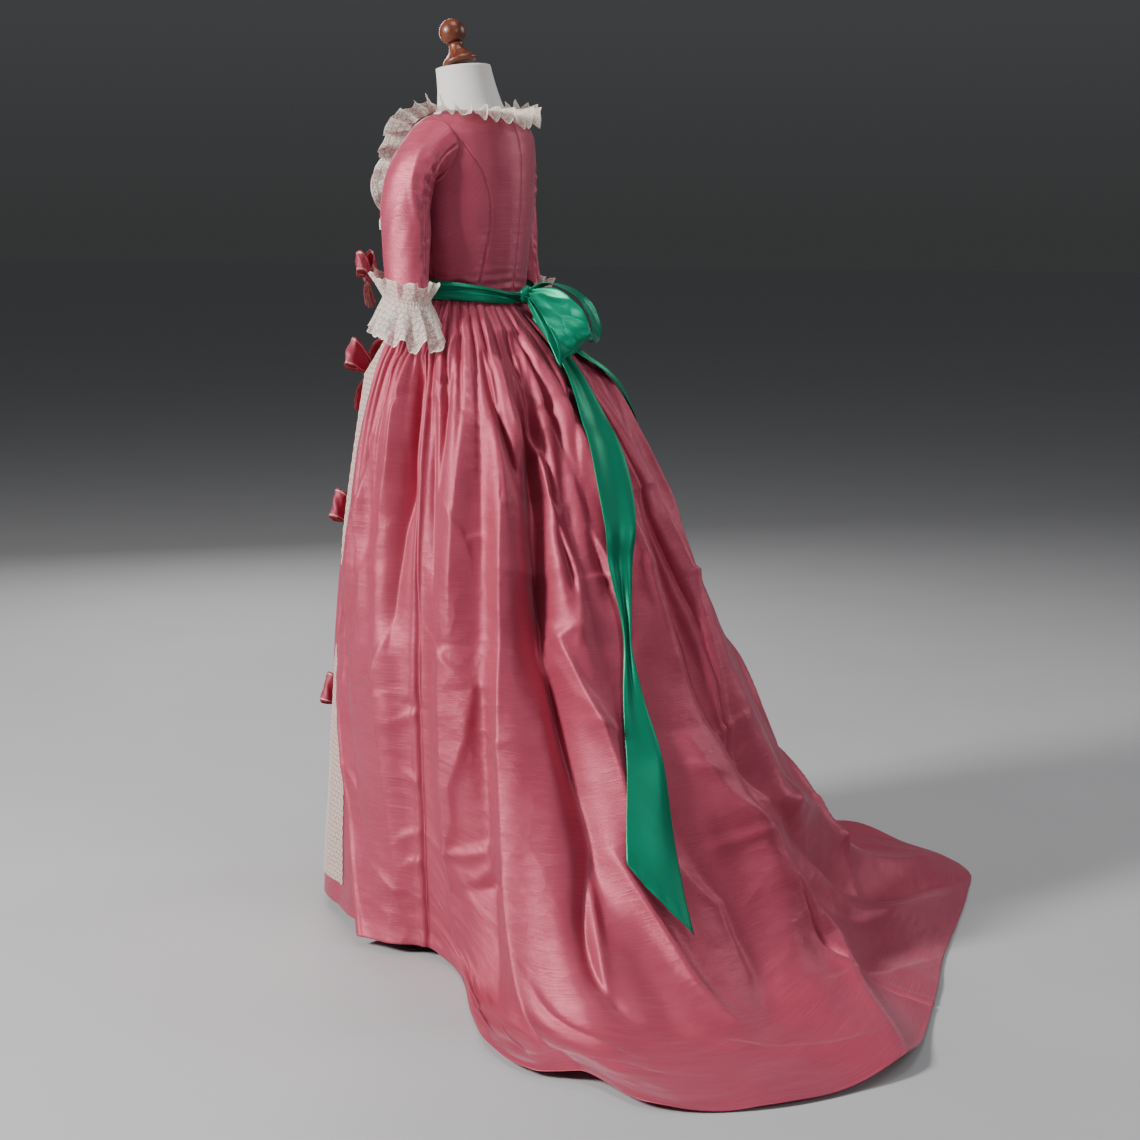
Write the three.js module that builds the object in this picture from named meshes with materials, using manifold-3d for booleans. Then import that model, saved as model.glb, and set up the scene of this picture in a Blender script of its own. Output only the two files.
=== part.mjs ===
// An English gown with a train, worn by a limbless dress form on a turned stand. Millimetres, +Z up.
// The origin is on the floor under the stand's pole. The gown's front faces -Y, its left side is +X,
// and the train lies towards +Y. Azimuths are in degrees round the pole: 0 front, 90 left, 180 back.
import * as THREE from 'three';
import { mergeVertices } from 'three/addons/utils/BufferGeometryUtils.js';
import Module from 'manifold-3d';

const wasm = await Module();
wasm.setup();

// ---- Driving dimensions -------------------------------------------------------------------------
const CLOTH = 1.6; // wall of the taffeta pieces
const LACE = 1.2; // wall of the frills and the lace strips
const SEAM = 0.3; // gap between two pieces at a seam
const WAIST = 1166; // height of the skirt's waist seam at the back
const WAIST_RISE = 10; // how much higher the waist seam is at the front
const BODICE_FOOT = 1158; // lower edge of the bodice, under the sash
const SIDE_EDGE = 92; // azimuth of the bodice's side seam
const ARMHOLE_FOOT = 1372; // lowest point of the armhole
const BACK_SEAM_TOP = 1460; // where the curved back seam meets the armhole
const BACK_TOP = 1511; // the neckline at the back
const FRONT_TOP = 1503; // the front's shoulder edge
const HEM_GAP = 20; // the front hem's height above the floor
const PLEATS = 40; // pleats set into the robe's waist
const SIDE_PLEAT = 10; // pleats from the robe's front edge to its side seam
const NECK_WAVES = 27;
const NECK_FRILL = 40; // depth of the neck frill
const NECK_START = 11; // azimuth where it starts, beside the front bow
const ELBOW_TILT = 8; // how much higher the sleeve ends in front of the elbow than at its middle
const CUFF_WAVES = 11;
const SASH_OUT = 14.5; // the sash's outer face, beyond the bodice
const FORM_INSET = 7; // the dress form's surface, inside the bodice's outer face
const FORM_DROP = 6; // and below it at the shoulders
const FORM_FOOT = 965; // lower end of the dress form's body
const POLE_RADIUS = 15;
const BASE_RADIUS = 165;
const BASE_HEIGHT = 22;

const rad = THREE.MathUtils.degToRad;
const clamp = THREE.MathUtils.clamp;
const mix = THREE.MathUtils.lerp;
const vec = (x, y, z) => new THREE.Vector3(x, y, z);
const up = vec(0, 0, 1);

function table(columns, rows) {
  return rows.map((row) => Object.fromEntries(columns.map((name, i) => [name, row[i]])));
}

// Level sections of the bodice's outer face: half width, and depth to the front and the back.
const bodiceSections = table(['z', 'half', 'front', 'back'], [
  [1150, 122, 106, 100],
  [1180, 120, 106, 99],
  [1230, 122, 113, 104],
  [1290, 129, 124, 111],
  [1350, 134, 127, 116],
  [1400, 139, 120, 118],
  [1440, 144, 103, 116],
  [1470, 145, 82, 108],
  [1490, 132, 66, 98],
  [1505, 108, 58, 88],
  [1518, 82, 54, 78],
  [1532, 62, 52, 66],
]);

// Edges that the bodice pieces are cut to, as azimuths on the left side at each height.
const backSeam = table(['z', 'azimuth'], [
  [1150, 138], [1200, 140], [1250, 145], [1300, 149], [1350, 148], [1400, 142], [1440, 131], [1460, 126],
  [1475, 122], [1490, 113], [1497, 105], [1512, 105],
]);
const sideBackTop = table(['across', 'z'], [[0, 1372], [0.35, 1386], [0.7, 1420], [0.9, 1448], [1, 1460]]);
const armholeFront = table(['z', 'azimuth'], [
  [1150, 92], [1372, 92], [1384, 78], [1400, 67], [1430, 60], [1460, 62], [1480, 74], [1490, 90], [1500, 103],
]);
const neckline = table(['z', 'azimuth'], [
  [1150, 0], [1296, 0], [1304, 9], [1325, 16], [1360, 21], [1400, 26], [1440, 34], [1465, 45], [1487, 61],
  [1500, 80], [1506, 98],
]);
// The neckline again, by azimuth, for the frill that runs round it.
const neckEdge = table(['azimuth', 'z'], [
  [0, 1298], [9, 1306], [16, 1326], [26, 1400], [45, 1464], [61, 1486], [80, 1499], [105, 1508], [140, 1511],
  [180, 1511],
]);

// The left armhole as a ring, by the angle round the sleeve: 0 front, 90 top, 180 back, 270 under the arm.
const armhole = table(['turn', 'azimuth', 'z'], [
  [-90, 92, 1374], [-60, 79, 1384], [-30, 67, 1402], [0, 60, 1432], [30, 62, 1462], [60, 76, 1484],
  [90, 100, 1494], [120, 114, 1486], [150, 122, 1468], [180, 124, 1445], [210, 118, 1416], [240, 106, 1388],
  [270, 92, 1374],
]);

// Level-ish sections down the left sleeve: centre, half depth front to back, half width, and the lean.
const sleeveSections = table(['along', 'x', 'y', 'z', 'depth', 'width', 'lean'], [
  [0, 142, 2, 1436, 50, 30, 62],
  [0.2, 164, -10, 1402, 51, 32, 30],
  [0.4, 172, -17, 1350, 50, 34, 8],
  [0.6, 174, -17, 1295, 49, 34, -2],
  [0.8, 180, -11, 1235, 46, 33, -8],
  [1, 190, -4, 1166, 43, 31, -10],
]);

// Lines across the robe's skirt, from the left front edge (0) round the back (0.5) to the right (1).
const waistLine = table(['across', 'azimuth'], [[0, 52], [0.25, 103], [0.5, 180], [0.75, 257], [1, 308]]);
const hipLine = table(['across', 'x', 'y', 'z'], [
  [0, 161, -101, 1030], [0.12, 198, -46, 1032], [0.253, 222, 60, 1030], [0.38, 165, 190, 1024],
  [0.5, 0, 252, 1020], [0.62, -165, 190, 1024], [0.747, -222, 60, 1030], [0.88, -198, -46, 1032],
  [1, -161, -101, 1030],
]);
const thighLine = table(['across', 'x', 'y', 'z'], [
  [0, 150, -172, 800], [0.12, 246, -70, 800], [0.253, 270, 80, 800], [0.38, 224, 262, 800],
  [0.5, 0, 392, 800], [0.62, -224, 262, 800], [0.747, -270, 80, 800], [0.88, -246, -70, 800],
  [1, -150, -172, 800],
]);
const kneeLine = table(['across', 'x', 'y', 'z'], [
  [0, 232, -148, 440], [0.12, 284, -40, 440], [0.253, 295, 96, 440], [0.32, 318, 218, 435],
  [0.4, 284, 400, 430], [0.5, 0, 555, 430], [0.6, -306, 430, 430], [0.68, -350, 248, 435],
  [0.747, -295, 96, 440], [0.88, -284, -40, 440], [1, -232, -148, 440],
]);
const landingLine = table(['across', 'x', 'y', 'z'], [
  [0, 286, -92, 200], [0.12, 306, -6, 200], [0.253, 304, 112, 190], [0.29, 322, 190, 110],
  [0.33, 408, 318, 50], [0.38, 478, 488, 30], [0.44, 330, 690, 36], [0.5, 20, 745, 46],
  [0.56, -250, 688, 60], [0.62, -486, 560, 80], [0.67, -470, 380, 112], [0.71, -330, 196, 130],
  [0.747, -304, 112, 190], [0.88, -306, -6, 200], [1, -286, -92, 200],
]);
const hemLine = table(['across', 'x', 'y', 'z'], [
  [0, 338, -32, 22], [0.12, 332, 44, 20], [0.253, 306, 119, 18], [0.275, 322, 166, 9],
  [0.295, 372, 232, 3], [0.32, 505, 348, 2], [0.345, 618, 470, 2], [0.365, 664, 575, 2],
  [0.38, 648, 668, 14], [0.4, 678, 788, 2], [0.425, 615, 908, 2], [0.45, 480, 1010, 2],
  [0.472, 320, 1052, 2], [0.5, 60, 985, 2], [0.54, -180, 905, 2], [0.58, -380, 852, 2],
  [0.615, -560, 800, 2], [0.642, -690, 752, 3], [0.66, -740, 680, 12], [0.676, -728, 590, 32],
  [0.69, -690, 480, 66], [0.705, -560, 350, 58], [0.724, -400, 230, 22], [0.747, -306, 119, 18],
  [0.88, -332, 44, 20], [1, -338, -32, 22],
]);
const FALL = { hip: 0.14, thigh: 0.33, knee: 0.6, landing: 0.8 }; // where those lines lie on the way down

// The skirt's largest folds: a ridge, or a valley where the height is negative. Each runs down the
// skirt from `from` to `to`, and lies at `start`, `centre` and `end` across it on the way.
const folds = table(['from', 'start', 'middle', 'centre', 'to', 'end', 'spread', 'height'], [
  [0.06, 0.06, 0.35, 0.07, 0.7, 0.08, 0.022, 11], [0.08, 0.13, 0.3, 0.14, 0.55, 0.15, 0.02, -12],
  [0.1, 0.19, 0.5, 0.19, 0.9, 0.19, 0.026, 10], [0.06, 0.222, 0.25, 0.232, 0.46, 0.24, 0.011, -20],
  [0.08, 0.3, 0.5, 0.295, 0.95, 0.29, 0.022, 14], [0.2, 0.34, 0.6, 0.328, 1, 0.315, 0.013, -12],
  [0.1, 0.364, 0.5, 0.36, 1.04, 0.352, 0.013, 20], [0.05, 0.428, 0.38, 0.391, 0.74, 0.408, 0.009, -40],
  [0.3, 0.405, 0.56, 0.42, 0.7, 0.43, 0.01, 22], [0.1, 0.442, 0.3, 0.425, 0.46, 0.414, 0.007, -22],
  [0.66, 0.404, 0.8, 0.426, 1.06, 0.42, 0.008, -12], [0.7, 0.39, 0.86, 0.4, 1.1, 0.4, 0.01, 14],
  [0.16, 0.452, 0.7, 0.49, 1.1, 0.456, 0.011, 34], [0.66, 0.45, 0.8, 0.468, 0.92, 0.44, 0.008, -16],
  [0.4, 0.478, 0.72, 0.512, 0.96, 0.62, 0.012, -24], [0.14, 0.512, 0.68, 0.53, 1.02, 0.646, 0.013, 30],
  [0.2, 0.552, 0.6, 0.572, 0.96, 0.6, 0.014, -16], [0.1, 0.592, 0.6, 0.612, 0.94, 0.63, 0.014, 26],
  [0.08, 0.622, 0.5, 0.645, 0.84, 0.662, 0.012, -22], [0.1, 0.655, 0.6, 0.672, 0.98, 0.684, 0.014, 20],
  [0.2, 0.69, 0.6, 0.7, 0.95, 0.706, 0.014, -12], [0.08, 0.73, 0.5, 0.73, 0.9, 0.73, 0.022, 11],
  [0.05, 0.775, 0.25, 0.778, 0.45, 0.78, 0.013, -16], [0.1, 0.82, 0.5, 0.815, 0.9, 0.81, 0.026, 10],
  [0.08, 0.88, 0.3, 0.87, 0.5, 0.86, 0.02, -11], [0.06, 0.94, 0.4, 0.93, 0.75, 0.92, 0.022, 11],
]);
// How deep the waist pleats are on the way down.
const pleatDepth = table(['fall', 'depth'], [
  [0, 0.9], [0.03, 3], [0.1, 9.5], [0.2, 10.5], [0.33, 7], [0.48, 3], [0.62, 0.8], [0.72, 0], [1, 0],
]);

// Reads a column on a smooth curve through the table's rows.
function read(rows, key, at, column) {
  const last = rows.length - 1;
  let i = 0;
  while (i < last - 1 && at > rows[i + 1][key]) i += 1;
  const span = (a, b) => (rows[b][column] - rows[a][column]) / (rows[b][key] - rows[a][key]);
  const slope = (k) => span(Math.max(k - 1, 0), Math.min(k + 1, last));
  const width = rows[i + 1][key] - rows[i][key];
  const t = clamp((at - rows[i][key]) / width, 0, 1);
  const rise = rows[i + 1][column] - rows[i][column];
  const bend = (slope(i) * width - rise) * (1 - t) - (slope(i + 1) * width - rise) * t;
  return rows[i][column] + rise * t + t * (1 - t) * bend;
}

// Reads a column along straight lines between the table's rows.
function readStraight(rows, key, at, column) {
  let i = 0;
  while (i < rows.length - 2 && at > rows[i + 1][key]) i += 1;
  const t = clamp((at - rows[i][key]) / (rows[i + 1][key] - rows[i][key]), 0, 1);
  return mix(rows[i][column], rows[i + 1][column], t);
}

function readPoint(rows, key, at) {
  return new THREE.Vector3(read(rows, key, at, 'x'), read(rows, key, at, 'y'), read(rows, key, at, 'z'));
}

// ---- Building solids ----------------------------------------------------------------------------
function solid(name, positions, faces, finish) {
  const geometry = new THREE.BufferGeometry();
  const numbers = positions.flatMap((point) => point.toArray());
  geometry.setAttribute('position', new THREE.Float32BufferAttribute(numbers, 3));
  const volume = faces.reduce((sum, [a, b, c]) => {
    const cross = new THREE.Vector3().crossVectors(positions[b], positions[c]);
    return sum + positions[a].dot(cross);
  }, 0);
  const turned = volume < 0 ? faces.map(([a, b, c]) => [a, c, b]) : faces;
  geometry.setIndex(turned.flat());
  geometry.computeVertexNormals();
  const mesh = new THREE.Mesh(geometry, finish);
  mesh.name = name;
  return mesh;
}

// A cloth wall: outer points from sample(u, v), inner points the thickness behind them.
// us and vs are the lines of the net. A wrapped wall closes on itself across u, and a wall with seams
// stands back from its two neighbours by half the seam's gap.
function wall(name, sample, us, vs, thickness, finish, options = {}) {
  const { wrapped = false, flip = 1, floor = false, seams = false } = options;
  const wide = us.length;
  const tall = vs.length;
  const stepU = (us[wide - 1] - us[0]) / wide / 6;
  const stepV = (vs[tall - 1] - vs[0]) / tall / 6;
  const outer = [];
  const inner = [];
  us.forEach((u, column) => vs.forEach((v) => {
    const point = sample(u, v);
    const alongU = sample(u + stepU, v).sub(sample(u - stepU, v));
    const alongV = sample(u, v + stepV).sub(sample(u, v - stepV));
    const acrossU = alongU.clone();
    const normal = alongU.cross(alongV).normalize().multiplyScalar(flip);
    const behind = point.clone().addScaledVector(normal, -thickness);
    const side = column === 0 ? 1 : Number(column === wide - 1) * -1;
    if (seams && side !== 0) {
      const inward = normal.clone().cross(sample(u, v + stepV).sub(sample(u, v - stepV))).normalize();
      const way = side * Math.sign(inward.dot(acrossU));
      point.addScaledVector(inward, way * SEAM / 2);
      behind.addScaledVector(inward, way * SEAM / 2);
    }
    if (floor && point.z < 3) behind.z = 0;
    if (floor) behind.z = Math.max(behind.z, 0);
    outer.push(point);
    inner.push(behind);
  }));
  const count = outer.length;
  const id = (i, j) => (i % wide) * tall + j;
  const faces = [];
  const quad = (a, b, c, d) => faces.push([a, b, c], [a, c, d]);
  const spans = wrapped ? wide : wide - 1;
  for (let i = 0; i < spans; i += 1) {
    for (let j = 0; j < tall - 1; j += 1) {
      const [a, b, c, d] = [id(i, j), id(i + 1, j), id(i + 1, j + 1), id(i, j + 1)];
      quad(a, b, c, d);
      quad(a + count, d + count, c + count, b + count);
    }
    for (const [j, turned] of [[0, true], [tall - 1, false]]) {
      const [a, b] = turned ? [id(i + 1, j), id(i, j)] : [id(i, j), id(i + 1, j)];
      quad(a, b, b + count, a + count);
    }
  }
  for (const [i, turned] of wrapped ? [] : [[0, false], [wide - 1, true]]) {
    for (let j = 0; j < tall - 1; j += 1) {
      const [a, b] = [id(i, j), id(i, j + 1)];
      if (turned) quad(a, a + count, b + count, b);
      else quad(b + count, a + count, a, b);
    }
  }
  return solid(name, [...outer, ...inner], faces, finish);
}

// A closed solid through rings of equal count, from the first ring to the last, with flat ends.
function loft(name, rings, finish) {
  const sides = rings[0].length;
  const points = rings.flat();
  const faces = [];
  for (let r = 0; r < rings.length - 1; r += 1) {
    for (let i = 0; i < sides; i += 1) {
      const [a, b] = [r * sides + i, r * sides + (i + 1) % sides];
      faces.push([a, b, b + sides], [a, b + sides, a + sides]);
    }
  }
  for (let i = 1; i < sides - 1; i += 1) {
    const end = (rings.length - 1) * sides;
    faces.push([0, i + 1, i], [end, end + i, end + i + 1]);
  }
  return solid(name, points, faces, finish);
}

function even(from, to, spans) {
  return Array.from({ length: spans + 1 }, (_, i) => mix(from, to, i / spans));
}

// Joins meshes into one body.
function joined(name, meshes, finish) {
  const bodies = meshes.map((mesh) => {
    const plain = mesh.geometry.clone();
    ['normal', 'uv'].forEach((extra) => plain.hasAttribute(extra) && plain.deleteAttribute(extra));
    mesh.updateMatrixWorld(true);
    plain.applyMatrix4(mesh.matrixWorld);
    const merged = mergeVertices(plain, 1e-3);
    return new wasm.Manifold(new wasm.Mesh({
      numProp: 3,
      vertProperties: merged.attributes.position.array,
      triVerts: merged.index.array,
    }));
  });
  const whole = bodies.reduce((sum, body) => sum.add(body)).getMesh();
  const geometry = new THREE.BufferGeometry();
  geometry.setAttribute('position', new THREE.BufferAttribute(whole.vertProperties, 3));
  geometry.setIndex(new THREE.BufferAttribute(whole.triVerts, 1));
  const mesh = new THREE.Mesh(geometry, finish);
  mesh.name = name;
  return mesh;
}

// ---- Finishes -----------------------------------------------------------------------------------
const finish = (color, roughness) => new THREE.MeshStandardMaterial({ color, roughness, metalness: 0 });
const taffeta = finish(0xc2657a, 0.42);
const satin = finish(0x00966e, 0.35);
const lace = finish(0xdcc8be, 0.85);
const cover = finish(0xd8d5d0, 0.9);
const wood = finish(0x8a3a18, 0.3);

// ---- The bodice ---------------------------------------------------------------------------------
function bodicePoint(azimuth, z, out = 0) {
  const place = (a, height) => {
    const half = read(bodiceSections, 'z', height, 'half');
    const depth = read(bodiceSections, 'z', height, Math.cos(rad(a)) > 0 ? 'front' : 'back');
    return new THREE.Vector3(half * Math.sin(rad(a)), -depth * Math.cos(rad(a)), height);
  };
  const point = place(azimuth, z);
  if (out === 0) return point;
  const round = place(azimuth + 1, z).sub(place(azimuth - 1, z));
  const rise = place(azimuth, z + 1).sub(place(azimuth, z - 1));
  return point.addScaledVector(round.cross(rise).normalize(), out);
}

// A bodice piece between two edges, mirrored for the right side. Its rows are heights or, where its
// top slopes, shares of its height.
function bodicePiece(name, side, edgeA, edgeB, topAt, spans, rows) {
  const sample = (u, v) => {
    const z = mix(BODICE_FOOT, topAt(clamp(u, 0, 1)), v);
    const point = bodicePoint(mix(edgeA(z), edgeB(z), u), z);
    point.x *= side;
    return point;
  };
  return wall(name, sample, even(0, 1, spans), rows, CLOTH, taffeta, { flip: side, seams: true });
}

function bodicePieces(side, label) {
  const centreBack = () => 180;
  const back = (z) => readStraight(backSeam, 'z', z, 'azimuth');
  const sideEdge = () => SIDE_EDGE;
  const armEdge = (z) => readStraight(armholeFront, 'z', z, 'azimuth');
  const frontEdge = (z) => readStraight(neckline, 'z', z, 'azimuth');
  const share = (z, top) => (z - BODICE_FOOT) / (top - BODICE_FOOT);
  const shared = even(0, 1, 8);
  const backRows = [...shared.map((v) => v * share(BACK_SEAM_TOP, BACK_TOP)),
    ...[1480, 1497, BACK_TOP].map((z) => share(z, BACK_TOP))];
  const frontRows = [...shared.map((v) => v * share(ARMHOLE_FOOT, FRONT_TOP)),
    ...[1400, 1430, 1460, 1480, 1492, FRONT_TOP].map((z) => share(z, FRONT_TOP))];
  const sideTop = (u) => readStraight(sideBackTop, 'across', u, 'z');
  return [
    bodicePiece(`bodice_back_${label}`, side, back, centreBack, () => BACK_TOP, 4, backRows),
    bodicePiece(`bodice_side_${label}`, side, sideEdge, back, sideTop, 4, shared),
    bodicePiece(`bodice_front_${label}`, side, frontEdge, armEdge, () => FRONT_TOP, 6, frontRows),
  ];
}

// ---- The sleeves --------------------------------------------------------------------------------
function sleevePoint(turn, along, side, out = 0) {
  const t = clamp(along, 0, 1);
  const centre = readPoint(sleeveSections, 'along', along);
  const lean = rad(read(sleeveSections, 'along', t, 'lean'));
  const outward = new THREE.Vector3(Math.cos(lean), 0, Math.sin(lean));
  const depth = read(sleeveSections, 'along', t, 'depth') + out;
  const width = read(sleeveSections, 'along', t, 'width') + out;
  const tube = centre.addScaledVector(outward, width * Math.sin(rad(turn)));
  tube.y -= depth * Math.cos(rad(turn));
  tube.z += ELBOW_TILT * Math.cos(rad(turn)) * t ** 3;
  const wrapped = ((turn + 90) % 360 + 360) % 360 - 90;
  const onBodice = bodicePoint(
    read(armhole, 'turn', wrapped, 'azimuth'), read(armhole, 'turn', wrapped, 'z'), CLOTH + 1.8);
  const set = Math.max(0, 1 - Math.max(t, 0) / 0.34) ** 2;
  const point = tube.lerp(onBodice, set);
  point.x *= side;
  return point;
}

function sleeve(side, label) {
  const turns = even(0, 336, 14).map((turn) => turn * side);
  const alongs = [0, 0.06, 0.15, 0.28, 0.45, 0.65, 0.85, 1];
  const sample = (turn, along) => sleevePoint(turn, along, side);
  return wall(`sleeve_${label}`, sample, turns, alongs, CLOTH, taffeta, { wrapped: true, flip: -1 });
}

// ---- Frills -------------------------------------------------------------------------------------
// A gathered strip: sample(u, v) of its wavy net. base(u) gives the gathering line's point, the way
// the frill stands and the way its waves swing.
function frillPoint(base, u, v, { waves, depth, swing }) {
  const { point, stand, wave } = base(u);
  const wobble = 0.55 * Math.sin(u * 17.3) + 0.4 * Math.sin(u * 41.7 + 1.3);
  const phase = 2 * Math.PI * waves * u + wobble;
  const reach = depth(u) * (1 + 0.09 * Math.sin(u * 57.1) + 0.05 * Math.cos(phase));
  return point.clone()
    .addScaledVector(stand, reach * v)
    .addScaledVector(wave, swing * Math.cos(phase) * v);
}

function neckBase(u) {
  const azimuth = mix(NECK_START, 360 - NECK_START, u);
  const left = azimuth <= 180;
  const around = left ? azimuth : 360 - azimuth;
  const z = read(neckEdge, 'azimuth', around, 'z');
  const point = bodicePoint(azimuth, z, 1.6);
  const away = bodicePoint(azimuth, z, 2.6).sub(point).normalize();
  const further = left ? around + 0.5 : around - 0.5;
  const next = bodicePoint(azimuth + 0.5, read(neckEdge, 'azimuth', further, 'z'), 1.6);
  const along = next.sub(point).normalize();
  const low = clamp((1500 - z) / 120, 0, 1);
  const back = clamp((around - 90) / 45, 0, 1);
  const lift = mix(mix(-0.25, -0.75, back), 0.05, low);
  const stand = away.clone().multiplyScalar(0.9).addScaledVector(up, lift).normalize();
  const wave = new THREE.Vector3().crossVectors(along, stand).normalize();
  return { point, stand, wave };
}

function neckFrill() {
  const depth = (u) => NECK_FRILL * (1 + 0.17 * Math.cos(4 * Math.PI * u));
  const shape = { waves: NECK_WAVES, depth, swing: 12 };
  const sample = (u, v) => frillPoint(neckBase, u, v, shape);
  return wall('neck_frill', sample, even(0, 1, NECK_WAVES * 3), [0, 0.5, 1], LACE, lace);
}

// `close` draws the frill in on the side towards the body.
function cuffBase(side, z, lift, close) {
  return (u) => {
    const turn = 360 * u;
    const along = 1 - (z - 1166) / 260;
    const point = sleevePoint(turn, along, 1, 3.2);
    const away = sleevePoint(turn, along, 1, 13.2).sub(point).normalize();
    const inner = Math.max(0, -Math.sin(rad(turn))); // 1 towards the body
    const flare = Math.sqrt(1 - lift * lift) * (1 - close * inner);
    const stand = away.clone().multiplyScalar(flare).addScaledVector(up, lift).normalize();
    const ahead = sleevePoint(turn + 2, along, 1, 3.2).sub(point).normalize();
    const wave = new THREE.Vector3().crossVectors(ahead, stand).normalize();
    for (const vector of [point, stand, wave]) vector.x *= side;
    return { point, stand, wave };
  };
}

function cuffFrills(side, label) {
  const backward = (u) => 0.5 - 0.5 * Math.cos(2 * Math.PI * u); // 0 at the front of the arm, 1 at the back
  const inner = (u) => Math.max(0, -Math.sin(2 * Math.PI * u)); // 1 towards the body
  const upperDepth = (u) => mix(52, 34, backward(u)) * (1 - 0.35 * inner(u));
  const lowerDepth = (u) => mix(58, 76, backward(u)) * (1 - 0.75 * inner(u));
  const upper = { waves: CUFF_WAVES, depth: upperDepth, swing: 6 };
  const lower = { waves: CUFF_WAVES, depth: lowerDepth, swing: 7 };
  const us = even(0, 1 - 1 / (CUFF_WAVES * 3), CUFF_WAVES * 3 - 1);
  const upperBase = cuffBase(side, 1176, 0.9, 0);
  const lowerBase = cuffBase(side, 1171, -0.88, 0.85);
  return [
    wall(`cuff_upper_${label}`, (u, v) => frillPoint(upperBase, u, v, upper), us, [0, 0.5, 1], LACE, lace,
      { wrapped: true }),
    wall(`cuff_lower_${label}`, (u, v) => frillPoint(lowerBase, u, v, lower), us, [0, 0.5, 1], LACE, lace,
      { wrapped: true }),
  ];
}

// ---- The robe's skirt ---------------------------------------------------------------------------
function waistPoint(across) {
  const azimuth = read(waistLine, 'across', across, 'azimuth');
  const z = WAIST + WAIST_RISE * (0.5 + 0.5 * Math.cos(rad(azimuth)));
  return bodicePoint(azimuth, z, 7);
}

// The skirt without its folds: a smooth fall through the five lines.
function skirtFall(across, fall) {
  const stops = [
    { at: 0, point: waistPoint(across) },
    { at: FALL.hip, point: readPoint(hipLine, 'across', across) },
    { at: FALL.thigh, point: readPoint(thighLine, 'across', across) },
    { at: FALL.knee, point: readPoint(kneeLine, 'across', across) },
    { at: FALL.landing, point: readPoint(landingLine, 'across', across) },
    { at: 1, point: readPoint(hemLine, 'across', across) },
  ].map(({ at, point }) => ({ at, x: point.x, y: point.y, z: point.z }));
  return readPoint(stops, 'at', fall);
}

function skirtRelief(across, fall) {
  const pleat = Math.cos(2 * Math.PI * PLEATS * across);
  const own = 1 + 0.3 * Math.sin(across * 91) + 0.22 * Math.sin(across * 37 + 2);
  let relief = pleat * own * read(pleatDepth, 'fall', clamp(fall, 0, 1), 'depth');
  for (const fold of folds) {
    const course = [
      { fall: fold.from, at: fold.start },
      { fall: fold.middle, at: fold.centre },
      { fall: fold.to, at: fold.end },
    ];
    const place = read(course, 'fall', fall, 'at');
    const reach = clamp((fall - fold.from) / (fold.to - fold.from), 0, 1);
    const swell = Math.sin(Math.PI * reach ** 0.7) ** 0.8;
    relief += fold.height * swell * Math.exp(-(((across - place) / fold.spread) ** 2));
  }
  return relief;
}

function skirtPoint(across, fall, out = 0) {
  const point = skirtFall(across, fall);
  const step = 0.004;
  const sideways = skirtFall(across + step, fall).sub(skirtFall(across - step, fall));
  const downward = skirtFall(across, fall + step).sub(skirtFall(across, fall - step));
  const normal = sideways.cross(downward).normalize().negate();
  point.addScaledVector(normal, skirtRelief(across, fall) + out);
  point.z = Math.max(point.z, 2);
  return point;
}

const falls = [0, 0.03, 0.08, 0.16, 0.26, 0.38, 0.5, 0.62, 0.73, 0.83, 0.92, 1];

function skirtPanel(name, fromPleat, toPleat) {
  const us = even(fromPleat / PLEATS, toPleat / PLEATS, (toPleat - fromPleat) * 3);
  const sample = (u, v) => skirtPoint(u, v);
  return wall(name, sample, us, falls, CLOTH, taffeta, { flip: -1, floor: true, seams: true });
}

// ---- The petticoat and its lace -----------------------------------------------------------------
const petticoatSections = table(['fall', 'z', 'front', 'corner', 'side', 'edge'], [
  [0.13, 1030, 212, 168, 182, 92],
  [0.33, 800, 242, 208, 234, 98],
  [0.62, 440, 278, 248, 266, 100],
  [0.83, 180, 292, 262, 278, 100],
  [1, HEM_GAP, 300, 268, 288, 100],
]);
const PETTICOAT_TOP = 1176;
const PETTICOAT_WAIST_EDGE = 74; // azimuth of its side edges at the waist
const GATHERS = 8;
const petticoatLines = even(-1, 1, 32);
const petticoatFalls = [0, 0.07, 0.15, 0.3, 0.5, 0.75, 0.95, 1];

// Its shape below the waist, by sections; `across` runs from -1, the right edge, to 1.
function petticoatBody(across, fall) {
  const part = (name) => read(petticoatSections, 'fall', fall, name);
  const azimuth = across * part('edge');
  const share = Math.abs(azimuth) / 50;
  const reach = share < 1 ? mix(part('front'), part('corner'), share ** 2)
    : mix(part('corner'), part('side'), clamp(share - 1, 0, 1) ** 1.3);
  return { azimuth, reach, z: part('z') };
}

function petticoatPoint(across, fall, out = 0) {
  const below = petticoatBody(across, Math.max(fall, 0.13));
  const waistAt = bodicePoint(across * PETTICOAT_WAIST_EDGE, PETTICOAT_TOP, CLOTH + 0.4);
  const drop = clamp(fall / 0.13, 0, 1);
  const turn = rad(below.azimuth);
  const bodyAt = vec(below.reach * Math.sin(turn), -below.reach * Math.cos(turn), below.z);
  const point = waistAt.lerp(bodyAt, drop);
  const gathers = 4 * Math.cos(across * Math.PI * GATHERS) * Math.sin(Math.PI * clamp(fall * 1.6, 0, 1));
  const away = vec(point.x, point.y, 0).normalize();
  return point.addScaledVector(away, gathers * (Math.abs(across) < 0.55 ? 1 : 0.3) + out);
}

function petticoat() {
  const sample = (u, v) => petticoatPoint(u, v);
  return wall('petticoat_front', sample, petticoatLines, petticoatFalls, CLOTH, taffeta);
}

// A lace strip down the petticoat beside the robe's front edge, ending above the hem.
function laceStrip(side, label) {
  const lines = petticoatLines.filter((across) => across * side > 0.3 && across * side < 0.6);
  const sample = (u, v) => petticoatPoint(u, v, LACE + 1.2);
  return wall(`lace_strip_${label}`, sample, lines, petticoatFalls.slice(1, -1), LACE, lace);
}

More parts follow.
